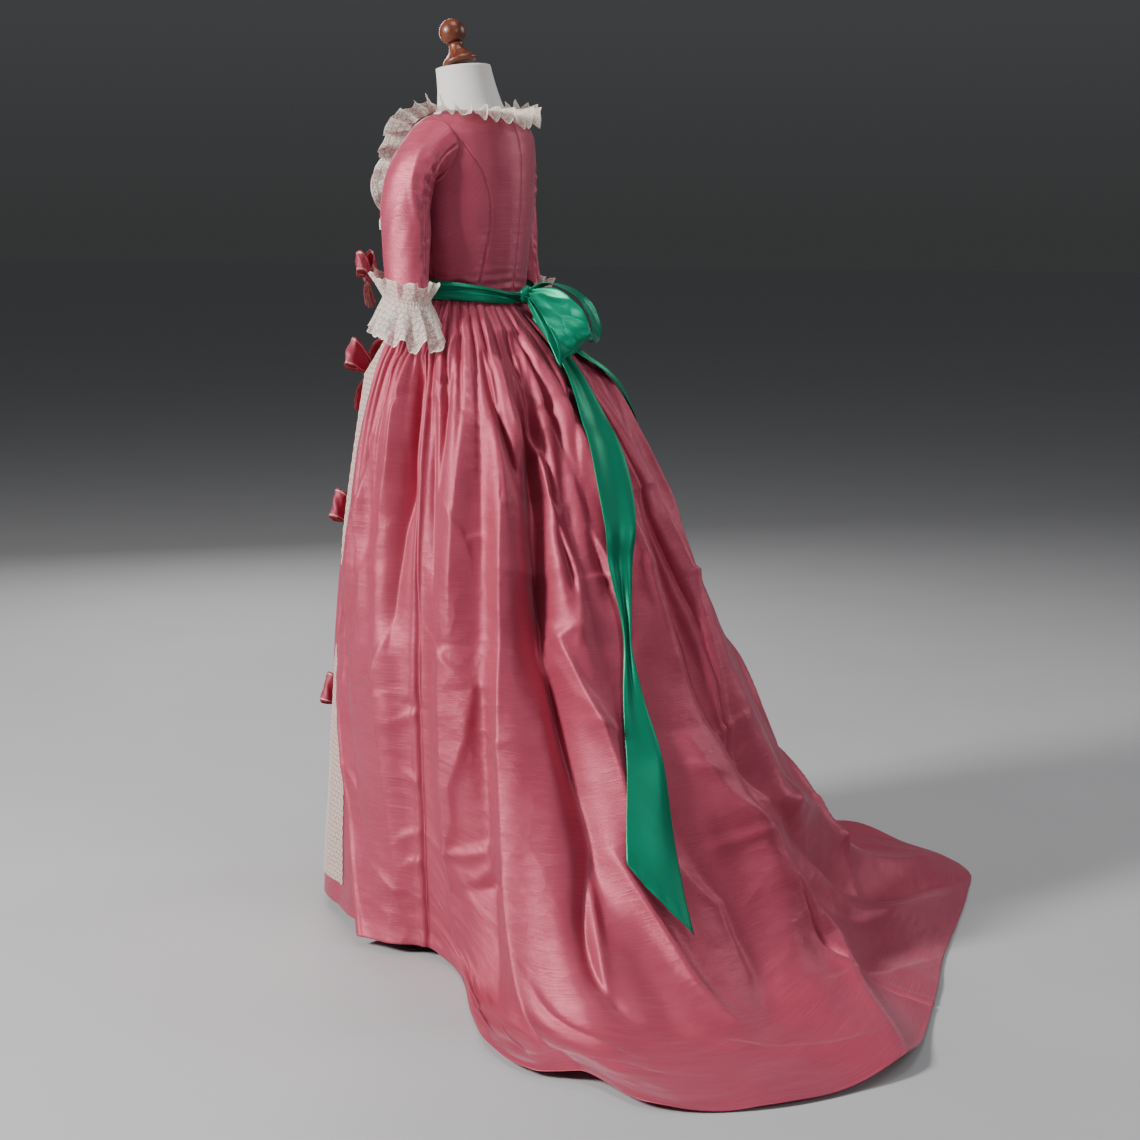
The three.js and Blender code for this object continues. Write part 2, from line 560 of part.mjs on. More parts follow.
// ---- Bows ---------------------------------------------------------------------------------------
// A ribbon along a path: half widths at the path's points, across a direction of the bow.
function ribbon(path, halfWidths, across, spans, thickness) {
  const curve = new THREE.CatmullRomCurve3(path);
  const widths = table(['at', 'half'], halfWidths.map((half, i) => [i / (halfWidths.length - 1), half]));
  const sample = (u, v) => {
    const t = clamp(u, 0, 1);
    return curve.getPoint(t).addScaledVector(across, read(widths, 'at', t, 'half') * v);
  };
  return wall('ribbon', sample, even(0, 1, spans), [-1, 1], thickness, taffeta);
}

function smallBow(name, width, place, azimuth, tilt) {
  const parts = [new THREE.Mesh(new THREE.SphereGeometry(1, 8, 5), taffeta)];
  parts[0].scale.set(width * 0.13, width * 0.15, width * 0.11);
  parts[0].position.set(0, 0, width * 0.1);
  for (const side of [-1, 1]) {
    const loop = [
      vec(0, 0, width * 0.12),
      vec(side * width * 0.26, width * 0.14, width * 0.24),
      vec(side * width * 0.46, width * 0.27, width * 0.17),
      vec(side * width * 0.43, width * 0.25, width * 0.06),
      vec(side * width * 0.2, width * 0.1, width * 0.03),
      vec(0, 0, width * 0.07),
    ];
    const loopWidths = [0.06, 0.17, 0.2, 0.19, 0.14, 0.06].map((half) => half * width);
    const across = vec(-side * 0.45, 1, 0.1).normalize();
    parts.push(ribbon(loop, loopWidths, across, 6, CLOTH));
    const tail = [
      vec(side * width * 0.02, -width * 0.02, width * 0.08),
      vec(side * width * 0.13, -width * 0.28, width * 0.12),
      vec(side * width * 0.22, -width * 0.58, width * 0.06),
    ];
    const tailWidths = [0.05, 0.11, 0.15].map((half) => half * width);
    parts.push(ribbon(tail, tailWidths, vec(1, side * 0.35, 0).normalize(), 2, CLOTH));
  }
  const frame = new THREE.Group();
  frame.add(...parts);
  frame.position.copy(place);
  frame.rotation.set(rad(90 - tilt), 0, rad(azimuth), 'ZXY');
  frame.updateMatrixWorld(true);
  return joined(name, parts, taffeta);
}

function bows() {
  const onSkirt = table(['name', 'fall', 'width'], [
    ['bow_skirt_upper', 0.13, 138], ['bow_skirt_middle', 0.385, 144], ['bow_skirt_lower', 0.68, 150],
  ]).map(({ name, fall, width }) => smallBow(name, width, petticoatPoint(0, fall, 6), 0, 6));
  const neck = smallBow('bow_neck', 84, bodicePoint(0, 1258, 5), 0, -6);
  const cuffs = [[1, 'left'], [-1, 'right']].map(([side, label]) => {
    const place = sleevePoint(-2, 0.87, side, 32);
    return smallBow(`bow_cuff_${label}`, 96, place, side * 22, 0);
  });
  return [...onSkirt, neck, ...cuffs];
}

// ---- The sash -----------------------------------------------------------------------------------
const sashSections = table(['azimuth', 'top', 'foot'], [
  [0, 1206, 1170], [60, 1208, 1172], [100, 1208, 1173], [140, 1198, 1167], [165, 1188, 1164],
  [180, 1185, 1165], [195, 1188, 1164], [220, 1198, 1167], [260, 1208, 1173], [300, 1208, 1172],
  [360, 1206, 1170],
]);

function sashBand() {
  const sample = (azimuth, v) => {
    const around = ((azimuth % 360) + 360) % 360;
    const edge = (name) => read(sashSections, 'azimuth', around, name);
    const z = mix(edge('foot'), edge('top'), v);
    const roll = 1.2 * Math.sin(v * Math.PI * 3);
    return bodicePoint(azimuth, z, SASH_OUT + roll);
  };
  return wall('sash_band', sample, even(0, 350, 35), even(0, 1, 2), CLOTH, satin, { wrapped: true });
}

const knotPlace = vec(0, 130, 1180);

function sashBow() {
  const knot = new THREE.Mesh(new THREE.SphereGeometry(1, 12, 8), satin);
  knot.scale.set(18, 9, 16);
  knot.position.copy(knotPlace);
  const nearLoop = [
    vec(2, 130, 1182), vec(15, 170, 1180), vec(30, 214, 1158), vec(42, 250, 1124), vec(46, 264, 1088),
    vec(36, 254, 1080), vec(24, 222, 1110), vec(12, 176, 1144), vec(2, 136, 1174),
  ];
  const farLoop = [
    vec(-2, 130, 1183), vec(-16, 166, 1202), vec(-34, 214, 1184), vec(-46, 240, 1150), vec(-52, 248, 1110),
    vec(-44, 232, 1094), vec(-30, 202, 1118), vec(-12, 166, 1150), vec(-2, 136, 1174),
  ];
  const widths = [8, 22, 34, 40, 41, 39, 34, 22, 8];
  const near = ribbon(nearLoop, widths, vec(0.74, -0.3, -0.6).normalize(), 14, CLOTH);
  const far = ribbon(farLoop, widths.map((w) => w * 0.8), vec(0.95, 0.2, 0.12).normalize(), 14, CLOTH);
  return joined('sash_bow', [knot, near, far], satin);
}

// A tail of the sash lies on the skirt: its middle's place across the skirt, and its half width.
const leftTail = table(['fall', 'across', 'half'], [
  [0.035, 0.488, 5], [0.1, 0.485, 16], [0.17, 0.477, 27], [0.24, 0.468, 34], [0.31, 0.459, 35],
  [0.39, 0.45, 25], [0.49, 0.444, 8], [0.55, 0.441, 17], [0.62, 0.438, 33], [0.7, 0.433, 48],
  [0.72, 0.432, 49],
]);
const rightTail = table(['fall', 'across', 'half'], [
  [0.035, 0.512, 5], [0.1, 0.542, 18], [0.18, 0.602, 26], [0.28, 0.638, 26], [0.4, 0.66, 30],
  [0.5, 0.668, 38], [0.58, 0.67, 44],
]);

function tailPoint(rows, u, fall) {
  const middle = read(rows, 'fall', fall, 'across');
  const half = read(rows, 'fall', fall, 'half');
  const step = 0.01;
  const wide = skirtFall(middle + step, fall).distanceTo(skirtFall(middle - step, fall)) / (2 * step);
  const reach = half / wide;
  let clear = 0;
  for (const near of [-1.4, -1, -0.6, -0.2, 0.2, 0.6, 1, 1.4]) {
    clear = Math.max(clear, skirtRelief(middle + near * Math.max(reach, 0.008), fall));
  }
  const point = skirtFall(middle + reach * u, fall);
  const sideways = skirtFall(middle + step, fall).sub(skirtFall(middle - step, fall));
  const downward = skirtFall(middle, fall + step).sub(skirtFall(middle, fall - step));
  const normal = sideways.cross(downward).normalize().negate();
  return point.addScaledVector(normal, clear + CLOTH + 10);
}

function sashTail(name, rows) {
  const first = rows[0].fall;
  const last = rows[rows.length - 1].fall;
  const slant = 0.028; // the tail's end is cut on a slant
  const sample = (u, v) => tailPoint(rows, u, mix(first, last + slant * u * v ** 4, v));
  const rowsDown = [first, ...falls.filter((fall) => fall > first + 0.02 && fall < last - 0.03), last]
    .map((fall) => (fall - first) / (last - first));
  return wall(name, sample, even(-1, 1, 3), rowsDown, CLOTH, satin, { flip: -1 });
}

// ---- The dress form and its stand ---------------------------------------------------------------
const formHips = table(['z', 'half', 'front', 'back'], [
  [FORM_FOOT, 138, 96, 110], [1000, 150, 102, 120], [1040, 150, 102, 118], [1090, 138, 100, 106],
  [1130, 122, 98, 96], [1160, 116, 98, 90],
]);
// The neck leans forward: centre, half width and depth of its sections.
const neckSections = table(['z', 'y', 'half', 'depth'], [
  [1530, 4, 62, 58], [1548, 0, 57, 55], [1570, -5, 53, 52], [1593, -10, 51, 50],
]);
const NECK_LEAN = 6; // degrees
const FINIAL_LEAN = 18;

function ellipse(cx, cy, z, half, front, back, sides = 20) {
  return Array.from({ length: sides }, (_, i) => {
    const a = (i / sides) * 2 * Math.PI;
    const depth = Math.cos(a) > 0 ? front : back;
    return vec(cx + half * Math.sin(a), cy - depth * Math.cos(a), z);
  });
}

function dressForm() {
  const hips = formHips.map(({ z, half, front, back }) => ellipse(0, 0, z, half, front, back));
  const chest = [1190, 1230, 1290, 1350, 1400, 1440, 1465, 1482, 1496, 1508, 1519].map((z) => {
    const part = (name) => read(bodiceSections, 'z', z, name) - FORM_INSET;
    return ellipse(0, 0, z - FORM_DROP, part('half'), part('front'), part('back'));
  });
  const neck = neckSections.map(({ z, y, half, depth }) => {
    const ring = ellipse(0, y, z, half, depth, depth);
    const tip = Math.tan(rad(NECK_LEAN)) * clamp((z - 1530) / 50, 0, 1);
    ring.forEach((point) => { point.z += (point.y - y) * tip; });
    return ring;
  });
  return loft('form_body', [...hips, ...chest, ...neck], cover);
}

function turned(name, profile, sides, material) {
  const points = profile.map(([radius, z]) => new THREE.Vector2(radius, z));
  const geometry = new THREE.LatheGeometry(points, sides);
  geometry.rotateX(rad(90));
  deleteLooseAttributes(geometry);
  const mesh = new THREE.Mesh(mergeVertices(geometry, 1e-3), material);
  mesh.name = name;
  return mesh;
}

function deleteLooseAttributes(geometry) {
  geometry.deleteAttribute('normal');
  geometry.deleteAttribute('uv');
}

function finial() {
  const ball = even(-56, 90, 6).map((a) => [24.5 * Math.cos(rad(a)), 60 + 24.5 * Math.sin(rad(a))]);
  ball[ball.length - 1][0] = 0;
  const profile = [[0, 0], [31, 0], [33, 4], [31, 9], [24, 15], [16, 24], [13, 33], ...ball];
  const mesh = turned('form_finial', profile, 15, wood);
  mesh.position.set(0, -15, 1600);
  mesh.rotation.x = rad(FINIAL_LEAN);
  return mesh;
}

function stand() {
  const base = turned('stand_base', [
    [0, 0], [BASE_RADIUS, 0], [BASE_RADIUS, 8], [BASE_RADIUS - 6, 14], [60, BASE_HEIGHT], [34, 30], [26, 60],
    [0, 60],
  ], 24, wood);
  const pole = turned('stand_pole', [
    [0, 60 + SEAM], [POLE_RADIUS, 60 + SEAM], [POLE_RADIUS, FORM_FOOT - SEAM], [0, FORM_FOOT - SEAM],
  ], 14, wood);
  return [base, pole];
}

// ---- The whole ----------------------------------------------------------------------------------
const gown = new THREE.Group();
for (const [side, label] of [[1, 'left'], [-1, 'right']]) {
  gown.add(...bodicePieces(side, label), sleeve(side, label));
  gown.add(...cuffFrills(side, label), laceStrip(side, label));
}
gown.add(
  skirtPanel('skirt_front_left', 0, SIDE_PLEAT),
  skirtPanel('skirt_back_left', SIDE_PLEAT, PLEATS / 2),
  skirtPanel('skirt_back_right', PLEATS / 2, PLEATS - SIDE_PLEAT),
  skirtPanel('skirt_front_right', PLEATS - SIDE_PLEAT, PLEATS),
  petticoat(),
  neckFrill(),
  ...bows(),
  sashBand(),
  sashBow(),
  sashTail('sash_tail_left', leftTail),
  sashTail('sash_tail_right', rightTail),
  dressForm(),
  finial(),
  ...stand(),
);

export default gown;
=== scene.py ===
"""An English gown of rose taffeta with a train, on a dress form and turned stand.

The cloth is worked out from the same tables as the CAD model, in millimetres, with finer nets, creases,
seams and stitches. Azimuths go round the pole in degrees: 0 front, 90 the wearer's left, 180 back.
"""
import math

import bpy
import numpy as np
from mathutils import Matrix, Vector


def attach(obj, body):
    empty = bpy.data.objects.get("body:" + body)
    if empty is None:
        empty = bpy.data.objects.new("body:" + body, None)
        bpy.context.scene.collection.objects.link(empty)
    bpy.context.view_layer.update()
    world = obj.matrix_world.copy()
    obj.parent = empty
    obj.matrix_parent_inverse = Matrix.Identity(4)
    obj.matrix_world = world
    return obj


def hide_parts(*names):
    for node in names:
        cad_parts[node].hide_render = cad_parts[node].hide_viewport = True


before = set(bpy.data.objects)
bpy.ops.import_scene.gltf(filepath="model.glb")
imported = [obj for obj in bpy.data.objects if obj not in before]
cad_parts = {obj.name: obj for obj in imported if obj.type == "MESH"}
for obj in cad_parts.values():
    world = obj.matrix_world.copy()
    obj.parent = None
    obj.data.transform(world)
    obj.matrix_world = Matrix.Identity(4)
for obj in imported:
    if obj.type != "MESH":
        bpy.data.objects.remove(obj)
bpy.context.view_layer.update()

MM = 0.001
BODY = "root"

# ---- Driving dimensions, in millimetres ---------------------------------------------------------
WAIST = 1166
WAIST_RISE = 10
BODICE_FOOT = 1158
SIDE_EDGE = 92
BACK_TOP = 1511
FRONT_TOP = 1503
HEM_GAP = 20
PLEATS = 40
SIDE_PLEAT = 10  # pleats from the robe's front edge to its side seam
NECK_WAVES = 27
NECK_FRILL = 40
NECK_START = 11
CUFF_WAVES = 11
SASH_OUT = 14.5
FORM_INSET = 7
FORM_DROP = 6
FORM_FOOT = 965
POLE_RADIUS = 15
BASE_RADIUS = 165
BASE_HEIGHT = 22
NECK_LEAN = 6
FINIAL_LEAN = 18
ELBOW_TILT = 8


def table(names, rows):
    return dict(zip(names.split(), np.array(rows, float).T))


BODICE = table("z half front back", [
    [1150, 122, 106, 100], [1180, 120, 106, 99], [1230, 122, 113, 104], [1290, 129, 124, 111],
    [1350, 134, 127, 116], [1400, 139, 120, 118], [1440, 144, 103, 116], [1470, 145, 82, 108],
    [1490, 132, 66, 98], [1505, 108, 58, 88], [1518, 82, 54, 78], [1532, 62, 52, 66]])
BACK_SEAM = table("z azimuth", [
    [1150, 138], [1200, 140], [1250, 145], [1300, 149], [1350, 148], [1400, 142], [1440, 131],
    [1460, 126], [1475, 122], [1490, 113], [1497, 105], [1512, 105]])
SIDE_TOP = table("across z", [[0, 1372], [0.35, 1386], [0.7, 1420], [0.9, 1448], [1, 1460]])
ARMHOLE_FRONT = table("z azimuth", [
    [1150, 92], [1372, 92], [1384, 78], [1400, 67], [1430, 60], [1460, 62], [1480, 74], [1490, 90],
    [1500, 103]])
NECKLINE = table("z azimuth", [
    [1150, 0], [1296, 0], [1304, 9], [1325, 16], [1360, 21], [1400, 26], [1440, 34], [1465, 45],
    [1487, 61], [1500, 80], [1506, 98]])
NECK_EDGE = table("azimuth z", [
    [0, 1298], [9, 1306], [16, 1326], [26, 1400], [45, 1464], [61, 1486], [80, 1499], [105, 1508],
    [140, 1511], [180, 1511]])
ARMHOLE = table("turn azimuth z", [
    [-90, 92, 1374], [-60, 79, 1384], [-30, 67, 1402], [0, 60, 1432], [30, 62, 1462], [60, 76, 1484],
    [90, 100, 1494], [120, 114, 1486], [150, 122, 1468], [180, 124, 1445], [210, 118, 1416],
    [240, 106, 1388], [270, 92, 1374]])
SLEEVE = table("along x y z depth width lean", [
    [0, 142, 2, 1436, 50, 30, 62], [0.2, 164, -10, 1402, 51, 32, 30], [0.4, 172, -17, 1350, 50, 34, 8],
    [0.6, 174, -17, 1295, 49, 34, -2], [0.8, 180, -11, 1235, 46, 33, -8], [1, 190, -4, 1166, 43, 31, -10]])
WAIST_LINE = table("across azimuth", [[0, 52], [0.25, 103], [0.5, 180], [0.75, 257], [1, 308]])
HIP = table("across x y z", [
    [0, 161, -101, 1030], [0.12, 198, -46, 1032], [0.253, 222, 60, 1030], [0.38, 165, 190, 1024],
    [0.5, 0, 252, 1020], [0.62, -165, 190, 1024], [0.747, -222, 60, 1030], [0.88, -198, -46, 1032],
    [1, -161, -101, 1030]])
THIGH = table("across x y z", [
    [0, 150, -172, 800], [0.12, 246, -70, 800], [0.253, 270, 80, 800], [0.38, 224, 262, 800],
    [0.5, 0, 392, 800], [0.62, -224, 262, 800], [0.747, -270, 80, 800], [0.88, -246, -70, 800],
    [1, -150, -172, 800]])
KNEE = table("across x y z", [
    [0, 232, -148, 440], [0.12, 284, -40, 440], [0.253, 295, 96, 440], [0.32, 318, 218, 435],
    [0.4, 284, 400, 430], [0.5, 0, 555, 430], [0.6, -306, 430, 430], [0.68, -350, 248, 435],
    [0.747, -295, 96, 440], [0.88, -284, -40, 440], [1, -232, -148, 440]])
LANDING = table("across x y z", [
    [0, 286, -92, 200], [0.12, 306, -6, 200], [0.253, 304, 112, 190], [0.29, 322, 190, 110],
    [0.33, 408, 318, 50], [0.38, 478, 488, 30], [0.44, 330, 690, 36], [0.5, 20, 745, 46],
    [0.56, -250, 688, 60], [0.62, -486, 560, 80], [0.67, -470, 380, 112], [0.71, -330, 196, 130],
    [0.747, -304, 112, 190], [0.88, -306, -6, 200], [1, -286, -92, 200]])
HEM = table("across x y z", [
    [0, 338, -32, 22], [0.12, 332, 44, 20], [0.253, 306, 119, 18], [0.275, 322, 166, 9],
    [0.295, 372, 232, 3], [0.32, 505, 348, 2], [0.345, 618, 470, 2], [0.365, 664, 575, 2],
    [0.38, 648, 668, 14], [0.4, 678, 788, 2], [0.425, 615, 908, 2], [0.45, 480, 1010, 2],
    [0.472, 320, 1052, 2], [0.5, 60, 985, 2], [0.54, -180, 905, 2], [0.58, -380, 852, 2],
    [0.615, -560, 800, 2], [0.642, -690, 752, 3], [0.66, -740, 680, 12], [0.676, -728, 590, 32],
    [0.69, -690, 480, 66], [0.705, -560, 350, 58], [0.724, -400, 230, 22], [0.747, -306, 119, 18],
    [0.88, -332, 44, 20], [1, -338, -32, 22]])
STOPS = np.array([0, 0.14, 0.33, 0.6, 0.8, 1])  # waist, hip, thigh, knee, landing, hem

# The skirt's largest folds, as in the CAD model.
FOLDS = table("start_fall start middle_fall middle end_fall end spread height", [
    [0.06, 0.06, 0.35, 0.07, 0.7, 0.08, 0.022, 11], [0.08, 0.13, 0.3, 0.14, 0.55, 0.15, 0.02, -12],
    [0.1, 0.19, 0.5, 0.19, 0.9, 0.19, 0.026, 10], [0.06, 0.222, 0.25, 0.232, 0.46, 0.24, 0.011, -20],
    [0.08, 0.3, 0.5, 0.295, 0.95, 0.29, 0.022, 14], [0.2, 0.34, 0.6, 0.328, 1, 0.315, 0.013, -12],
    [0.1, 0.364, 0.5, 0.36, 1.04, 0.352, 0.013, 20], [0.05, 0.428, 0.38, 0.391, 0.74, 0.408, 0.009, -40],
    [0.3, 0.405, 0.56, 0.42, 0.7, 0.43, 0.01, 22], [0.1, 0.442, 0.3, 0.425, 0.46, 0.414, 0.007, -22],
    [0.66, 0.404, 0.8, 0.426, 1.06, 0.42, 0.008, -12], [0.7, 0.39, 0.86, 0.4, 1.1, 0.4, 0.01, 14],
    [0.16, 0.452, 0.7, 0.49, 1.1, 0.456, 0.011, 34], [0.66, 0.45, 0.8, 0.468, 0.92, 0.44, 0.008, -16],
    [0.4, 0.478, 0.72, 0.512, 0.96, 0.62, 0.012, -24], [0.14, 0.512, 0.68, 0.53, 1.02, 0.646, 0.013, 30],
    [0.2, 0.552, 0.6, 0.572, 0.96, 0.6, 0.014, -16], [0.1, 0.592, 0.6, 0.612, 0.94, 0.63, 0.014, 26],
    [0.08, 0.622, 0.5, 0.645, 0.84, 0.662, 0.012, -22], [0.1, 0.655, 0.6, 0.672, 0.98, 0.684, 0.014, 20],
    [0.2, 0.69, 0.6, 0.7, 0.95, 0.706, 0.014, -12], [0.08, 0.73, 0.5, 0.73, 0.9, 0.73, 0.022, 11],
    [0.05, 0.775, 0.25, 0.778, 0.45, 0.78, 0.013, -16], [0.1, 0.82, 0.5, 0.815, 0.9, 0.81, 0.026, 10],
    [0.08, 0.88, 0.3, 0.87, 0.5, 0.86, 0.02, -11], [0.06, 0.94, 0.4, 0.93, 0.75, 0.92, 0.022, 11]])
PLEAT_DEPTH = table("fall depth", [
    [0, 0.9], [0.03, 3], [0.1, 9.5], [0.2, 10.5], [0.33, 7], [0.48, 3], [0.62, 0.8], [0.72, 0], [1, 0]])

PLEAT_SHARE = table("fall share", [
    [0, 0.9], [0.06, 0.75], [0.11, 0.52], [0.17, 0.3], [0.25, 0.15], [0.4, 0.07], [0.6, 0], [1, 0]])

# Long folds of the robe: a line of (across, fall) places, half width and height in millimetres.
LONG_FOLDS = [
    ([(0.153, 0.13), (0.15, 0.18), (0.13, 0.23), (0.11, 0.27), (0.1, 0.3), (0.075, 0.34)], 8, -16),
    ([(0.231, 0.1), (0.234, 0.19), (0.225, 0.25), (0.222, 0.31), (0.213, 0.36), (0.198, 0.52)], 24, -36),
    ([(0.273, 0.16), (0.273, 0.3), (0.279, 0.44)], 11, -14),
    ([(0.3, 0.1), (0.294, 0.18), (0.285, 0.3)], 9, -16),
    ([(0.354, 0.08), (0.36, 0.16), (0.372, 0.22), (0.387, 0.31)], 9, -20),
    ([(0.408, 0.05), (0.399, 0.14), (0.405, 0.2), (0.402, 0.27), (0.399, 0.35), (0.39, 0.43), (0.384, 0.52)],
     19, -36),
    ([(0.42, 0.2), (0.414, 0.3), (0.414, 0.36), (0.42, 0.45)], 9, -21),
    ([(0.495, 0.1), (0.453, 0.2), (0.441, 0.29), (0.438, 0.36), (0.444, 0.46)], 13, -24),
    ([(0.162, 0.1), (0.153, 0.21), (0.13, 0.3), (0.1, 0.38), (0.08, 0.5)], 24, 22),
    ([(0.2, 0.09), (0.195, 0.16), (0.19, 0.25), (0.175, 0.36)], 13, 14),
    ([(0.246, 0.14), (0.249, 0.3), (0.246, 0.46)], 11, 15),
    ([(0.318, 0.18), (0.309, 0.34), (0.3, 0.5)], 26, 20),
    ([(0.381, 0.09), (0.384, 0.17), (0.399, 0.25)], 10, 15),
    ([(0.417, 0.08), (0.408, 0.2), (0.411, 0.26), (0.411, 0.31), (0.42, 0.41), (0.414, 0.5)], 9, 21),
    ([(0.465, 0.09), (0.456, 0.18), (0.444, 0.26), (0.438, 0.34), (0.444, 0.4), (0.447, 0.5)], 11, 18),
    ([(0.39, 0.4), (0.378, 0.5), (0.39, 0.55), (0.399, 0.61), (0.408, 0.67), (0.408, 0.75)], 38, -42),
    ([(0.396, 0.46), (0.411, 0.54), (0.42, 0.59), (0.426, 0.63), (0.429, 0.68)], 13, 22),
    ([(0.465, 0.6), (0.477, 0.66), (0.495, 0.69), (0.501, 0.73), (0.507, 0.81), (0.462, 1.04)], 44, 38),
    ([(0.498, 0.3), (0.486, 0.53), (0.489, 0.59), (0.507, 0.65), (0.564, 0.78), (0.636, 1.02)], 42, -42),
    ([(0.516, 0.34), (0.498, 0.59), (0.513, 0.67), (0.573, 0.72), (0.66, 1.0)], 38, 32),
    ([(0.405, 0.68), (0.399, 0.73), (0.402, 0.77), (0.414, 0.82)], 15, -21),
    ([(0.417, 0.68), (0.432, 0.74), (0.45, 0.84)], 13, 18),
    ([(0.33, 0.55), (0.326, 0.72), (0.34, 0.9)], 40, -15),
    ([(0.352, 0.5), (0.352, 0.66), (0.37, 0.86), (0.38, 1.04)], 22, 14),
    ([(0.29, 0.5), (0.292, 0.7), (0.287, 0.93)], 24, 14),
    ([(0.05, 0.45), (0.06, 0.65), (0.05, 0.9)], 40, -12),
    ([(0.17, 0.4), (0.165, 0.6), (0.18, 0.9)], 34, 12),
]
FOLD_SHIFT = 0.03  # how far the right side's long folds lie from the mirror places
FOLDS_MIRRORED_TO = 0.47  # long folds up to here across are repeated on the right side

# Creases pressed or crumpled into the robe: a line of (across, fall) places, half width and height in
# millimetres, and how far one side is steeper than the other.
CREASES = [
    ([(0.09, 0.575), (0.159, 0.55), (0.207, 0.48)], 15, 8, 0.7),
    ([(0.085, 0.585), (0.15, 0.563)], 9, -5, 0.3),
    ([(0.201, 0.61), (0.251, 0.596)], 8, 4, 0.6),
    ([(0.204, 0.58), (0.251, 0.588)], 7, -3, 0.4),
    ([(0.198, 0.79), (0.251, 0.765)], 8, 4, 0.6),
    ([(0.213, 0.83), (0.251, 0.815)], 7, 4, 0.6),
    ([(0.215, 0.68), (0.251, 0.70)], 8, 3, 0.6),
    ([(0.22, 0.9), (0.251, 0.89)], 8, 3, 0.6),
    ([(0.10, 0.52), (0.13, 0.42), (0.18, 0.36)], 22, 8, 0.5),
    ([(0.303, 0.32), (0.321, 0.36), (0.339, 0.35)], 8, 5, 0.7),
    ([(0.321, 0.36), (0.325, 0.39)], 7, 4, 0.7),
    ([(0.273, 0.49), (0.306, 0.53), (0.324, 0.55), (0.315, 0.61), (0.3, 0.66), (0.3, 0.69),
      (0.291, 0.73), (0.306, 0.75)], 12, 7, 0.9),
    ([(0.291, 0.73), (0.345, 0.68)], 8, 9, 0.6),
    ([(0.306, 0.75), (0.348, 0.70)], 9, -8, 0.5),
    ([(0.345, 0.68), (0.309, 0.74)], 8, 5, 0.5),
    ([(0.36, 0.31), (0.354, 0.44), (0.351, 0.56), (0.345, 0.68)], 16, 9, 0.8),
    ([(0.393, 0.49), (0.408, 0.55), (0.423, 0.59)], 13, 10, 0.5),
    ([(0.393, 0.49), (0.414, 0.47)], 8, 8, 0.6),
    ([(0.414, 0.58), (0.429, 0.59)], 8, 7, 0.6),
    ([(0.429, 0.41), (0.444, 0.41)], 7, 6, 0.6),
    ([(0.462, 0.63), (0.48, 0.64)], 9, 8, 0.7),
    ([(0.462, 0.69), (0.497, 0.69)], 9, 7, 0.8),
    ([(0.508, 0.42), (0.532, 0.43)], 8, 8, 0.6),
    ([(0.489, 0.61), (0.513, 0.60)], 9, 9, 0.7),
    ([(0.53, 0.69), (0.55, 0.67)], 9, 8, 0.7),
    ([(0.405, 0.70), (0.405, 0.79)], 12, 12, 0.4),
    ([(0.447, 0.70), (0.462, 0.73), (0.464, 0.79)], 12, 9, 0.6),
    ([(0.279, 0.0), (0.258, 0.05), (0.246, 0.10), (0.256, 0.23)], 5, 4, 0.5),
    ([(0.345, 0.01), (0.3, 0.07), (0.288, 0.13), (0.288, 0.27)], 6, 5, 0.5),
    ([(0.375, 0.01), (0.363, 0.13), (0.366, 0.31)], 6, 5, 0.5),
    ([(0.411, 0.01), (0.399, 0.13), (0.393, 0.25)], 6, 6, 0.5),
    ([(0.447, 0.02), (0.426, 0.10), (0.408, 0.19)], 5, 5, 0.5),
    ([(0.183, 0.155), (0.195, 0.17), (0.21, 0.155)], 6, -5, 0.4),
    ([(0.276, 0.135), (0.281, 0.145), (0.29, 0.13)], 5, -5, 0.4),
    ([(0.363, 0.17), (0.378, 0.255), (0.39, 0.27)], 7, -6, 0.5),
    ([(0.42, 0.155), (0.426, 0.17), (0.434, 0.16)], 6, -6, 0.4),
    ([(0.33, 0.62), (0.36, 0.6)], 9, 4, 0.6),
    ([(0.37, 0.78), (0.40, 0.86)], 12, 7, 0.7),
    ([(0.33, 0.86), (0.36, 0.94)], 12, 6, 0.7),
    ([(0.44, 0.86), (0.47, 0.95)], 14, 8, 0.7),
    ([(0.48, 0.84), (0.53, 0.97)], 15, 8, 0.7),
    ([(0.39, 0.9), (0.43, 0.93)], 12, 6, 0.7),
    ([(0.55, 0.8), (0.6, 0.93)], 15, 8, 0.7),
    ([(0.59, 0.7), (0.62, 0.79)], 12, 7, 0.7),
    ([(0.04, 0.3), (0.05, 0.44), (0.03, 0.6)], 14, 6, 0.6),
    ([(0.02, 0.7), (0.07, 0.74), (0.12, 0.72)], 12, 5, 0.7),
    ([(0.12, 0.86), (0.18, 0.9)], 12, 4, 0.7),
]
CREASES_MIRRORED_TO = 0.36  # creases up to here across are repeated on the right side
NICKS = 8  # short creases, one below the other, in a pleat beside the back

PETTICOAT = table("fall z front corner side edge", [
    [0.13, 1030, 212, 168, 182, 92], [0.33, 800, 242, 208, 234, 98], [0.62, 440, 278, 248, 266, 100],
    [0.83, 180, 292, 262, 278, 100], [1, HEM_GAP, 300, 268, 288, 100]])
SASH = table("azimuth top foot", [
    [0, 1206, 1170], [60, 1208, 1172], [100, 1208, 1173], [140, 1198, 1167], [165, 1188, 1164],
    [180, 1185, 1165], [195, 1188, 1164], [220, 1198, 1167], [260, 1208, 1173], [300, 1208, 1172],
    [360, 1206, 1170]])
LEFT_TAIL = table("fall across half", [
    [0.035, 0.488, 5], [0.1, 0.485, 16], [0.17, 0.477, 27], [0.24, 0.468, 34], [0.31, 0.459, 35],
    [0.39, 0.45, 25], [0.49, 0.444, 8], [0.55, 0.441, 17], [0.62, 0.438, 33], [0.7, 0.433, 48],
    [0.72, 0.432, 49]])
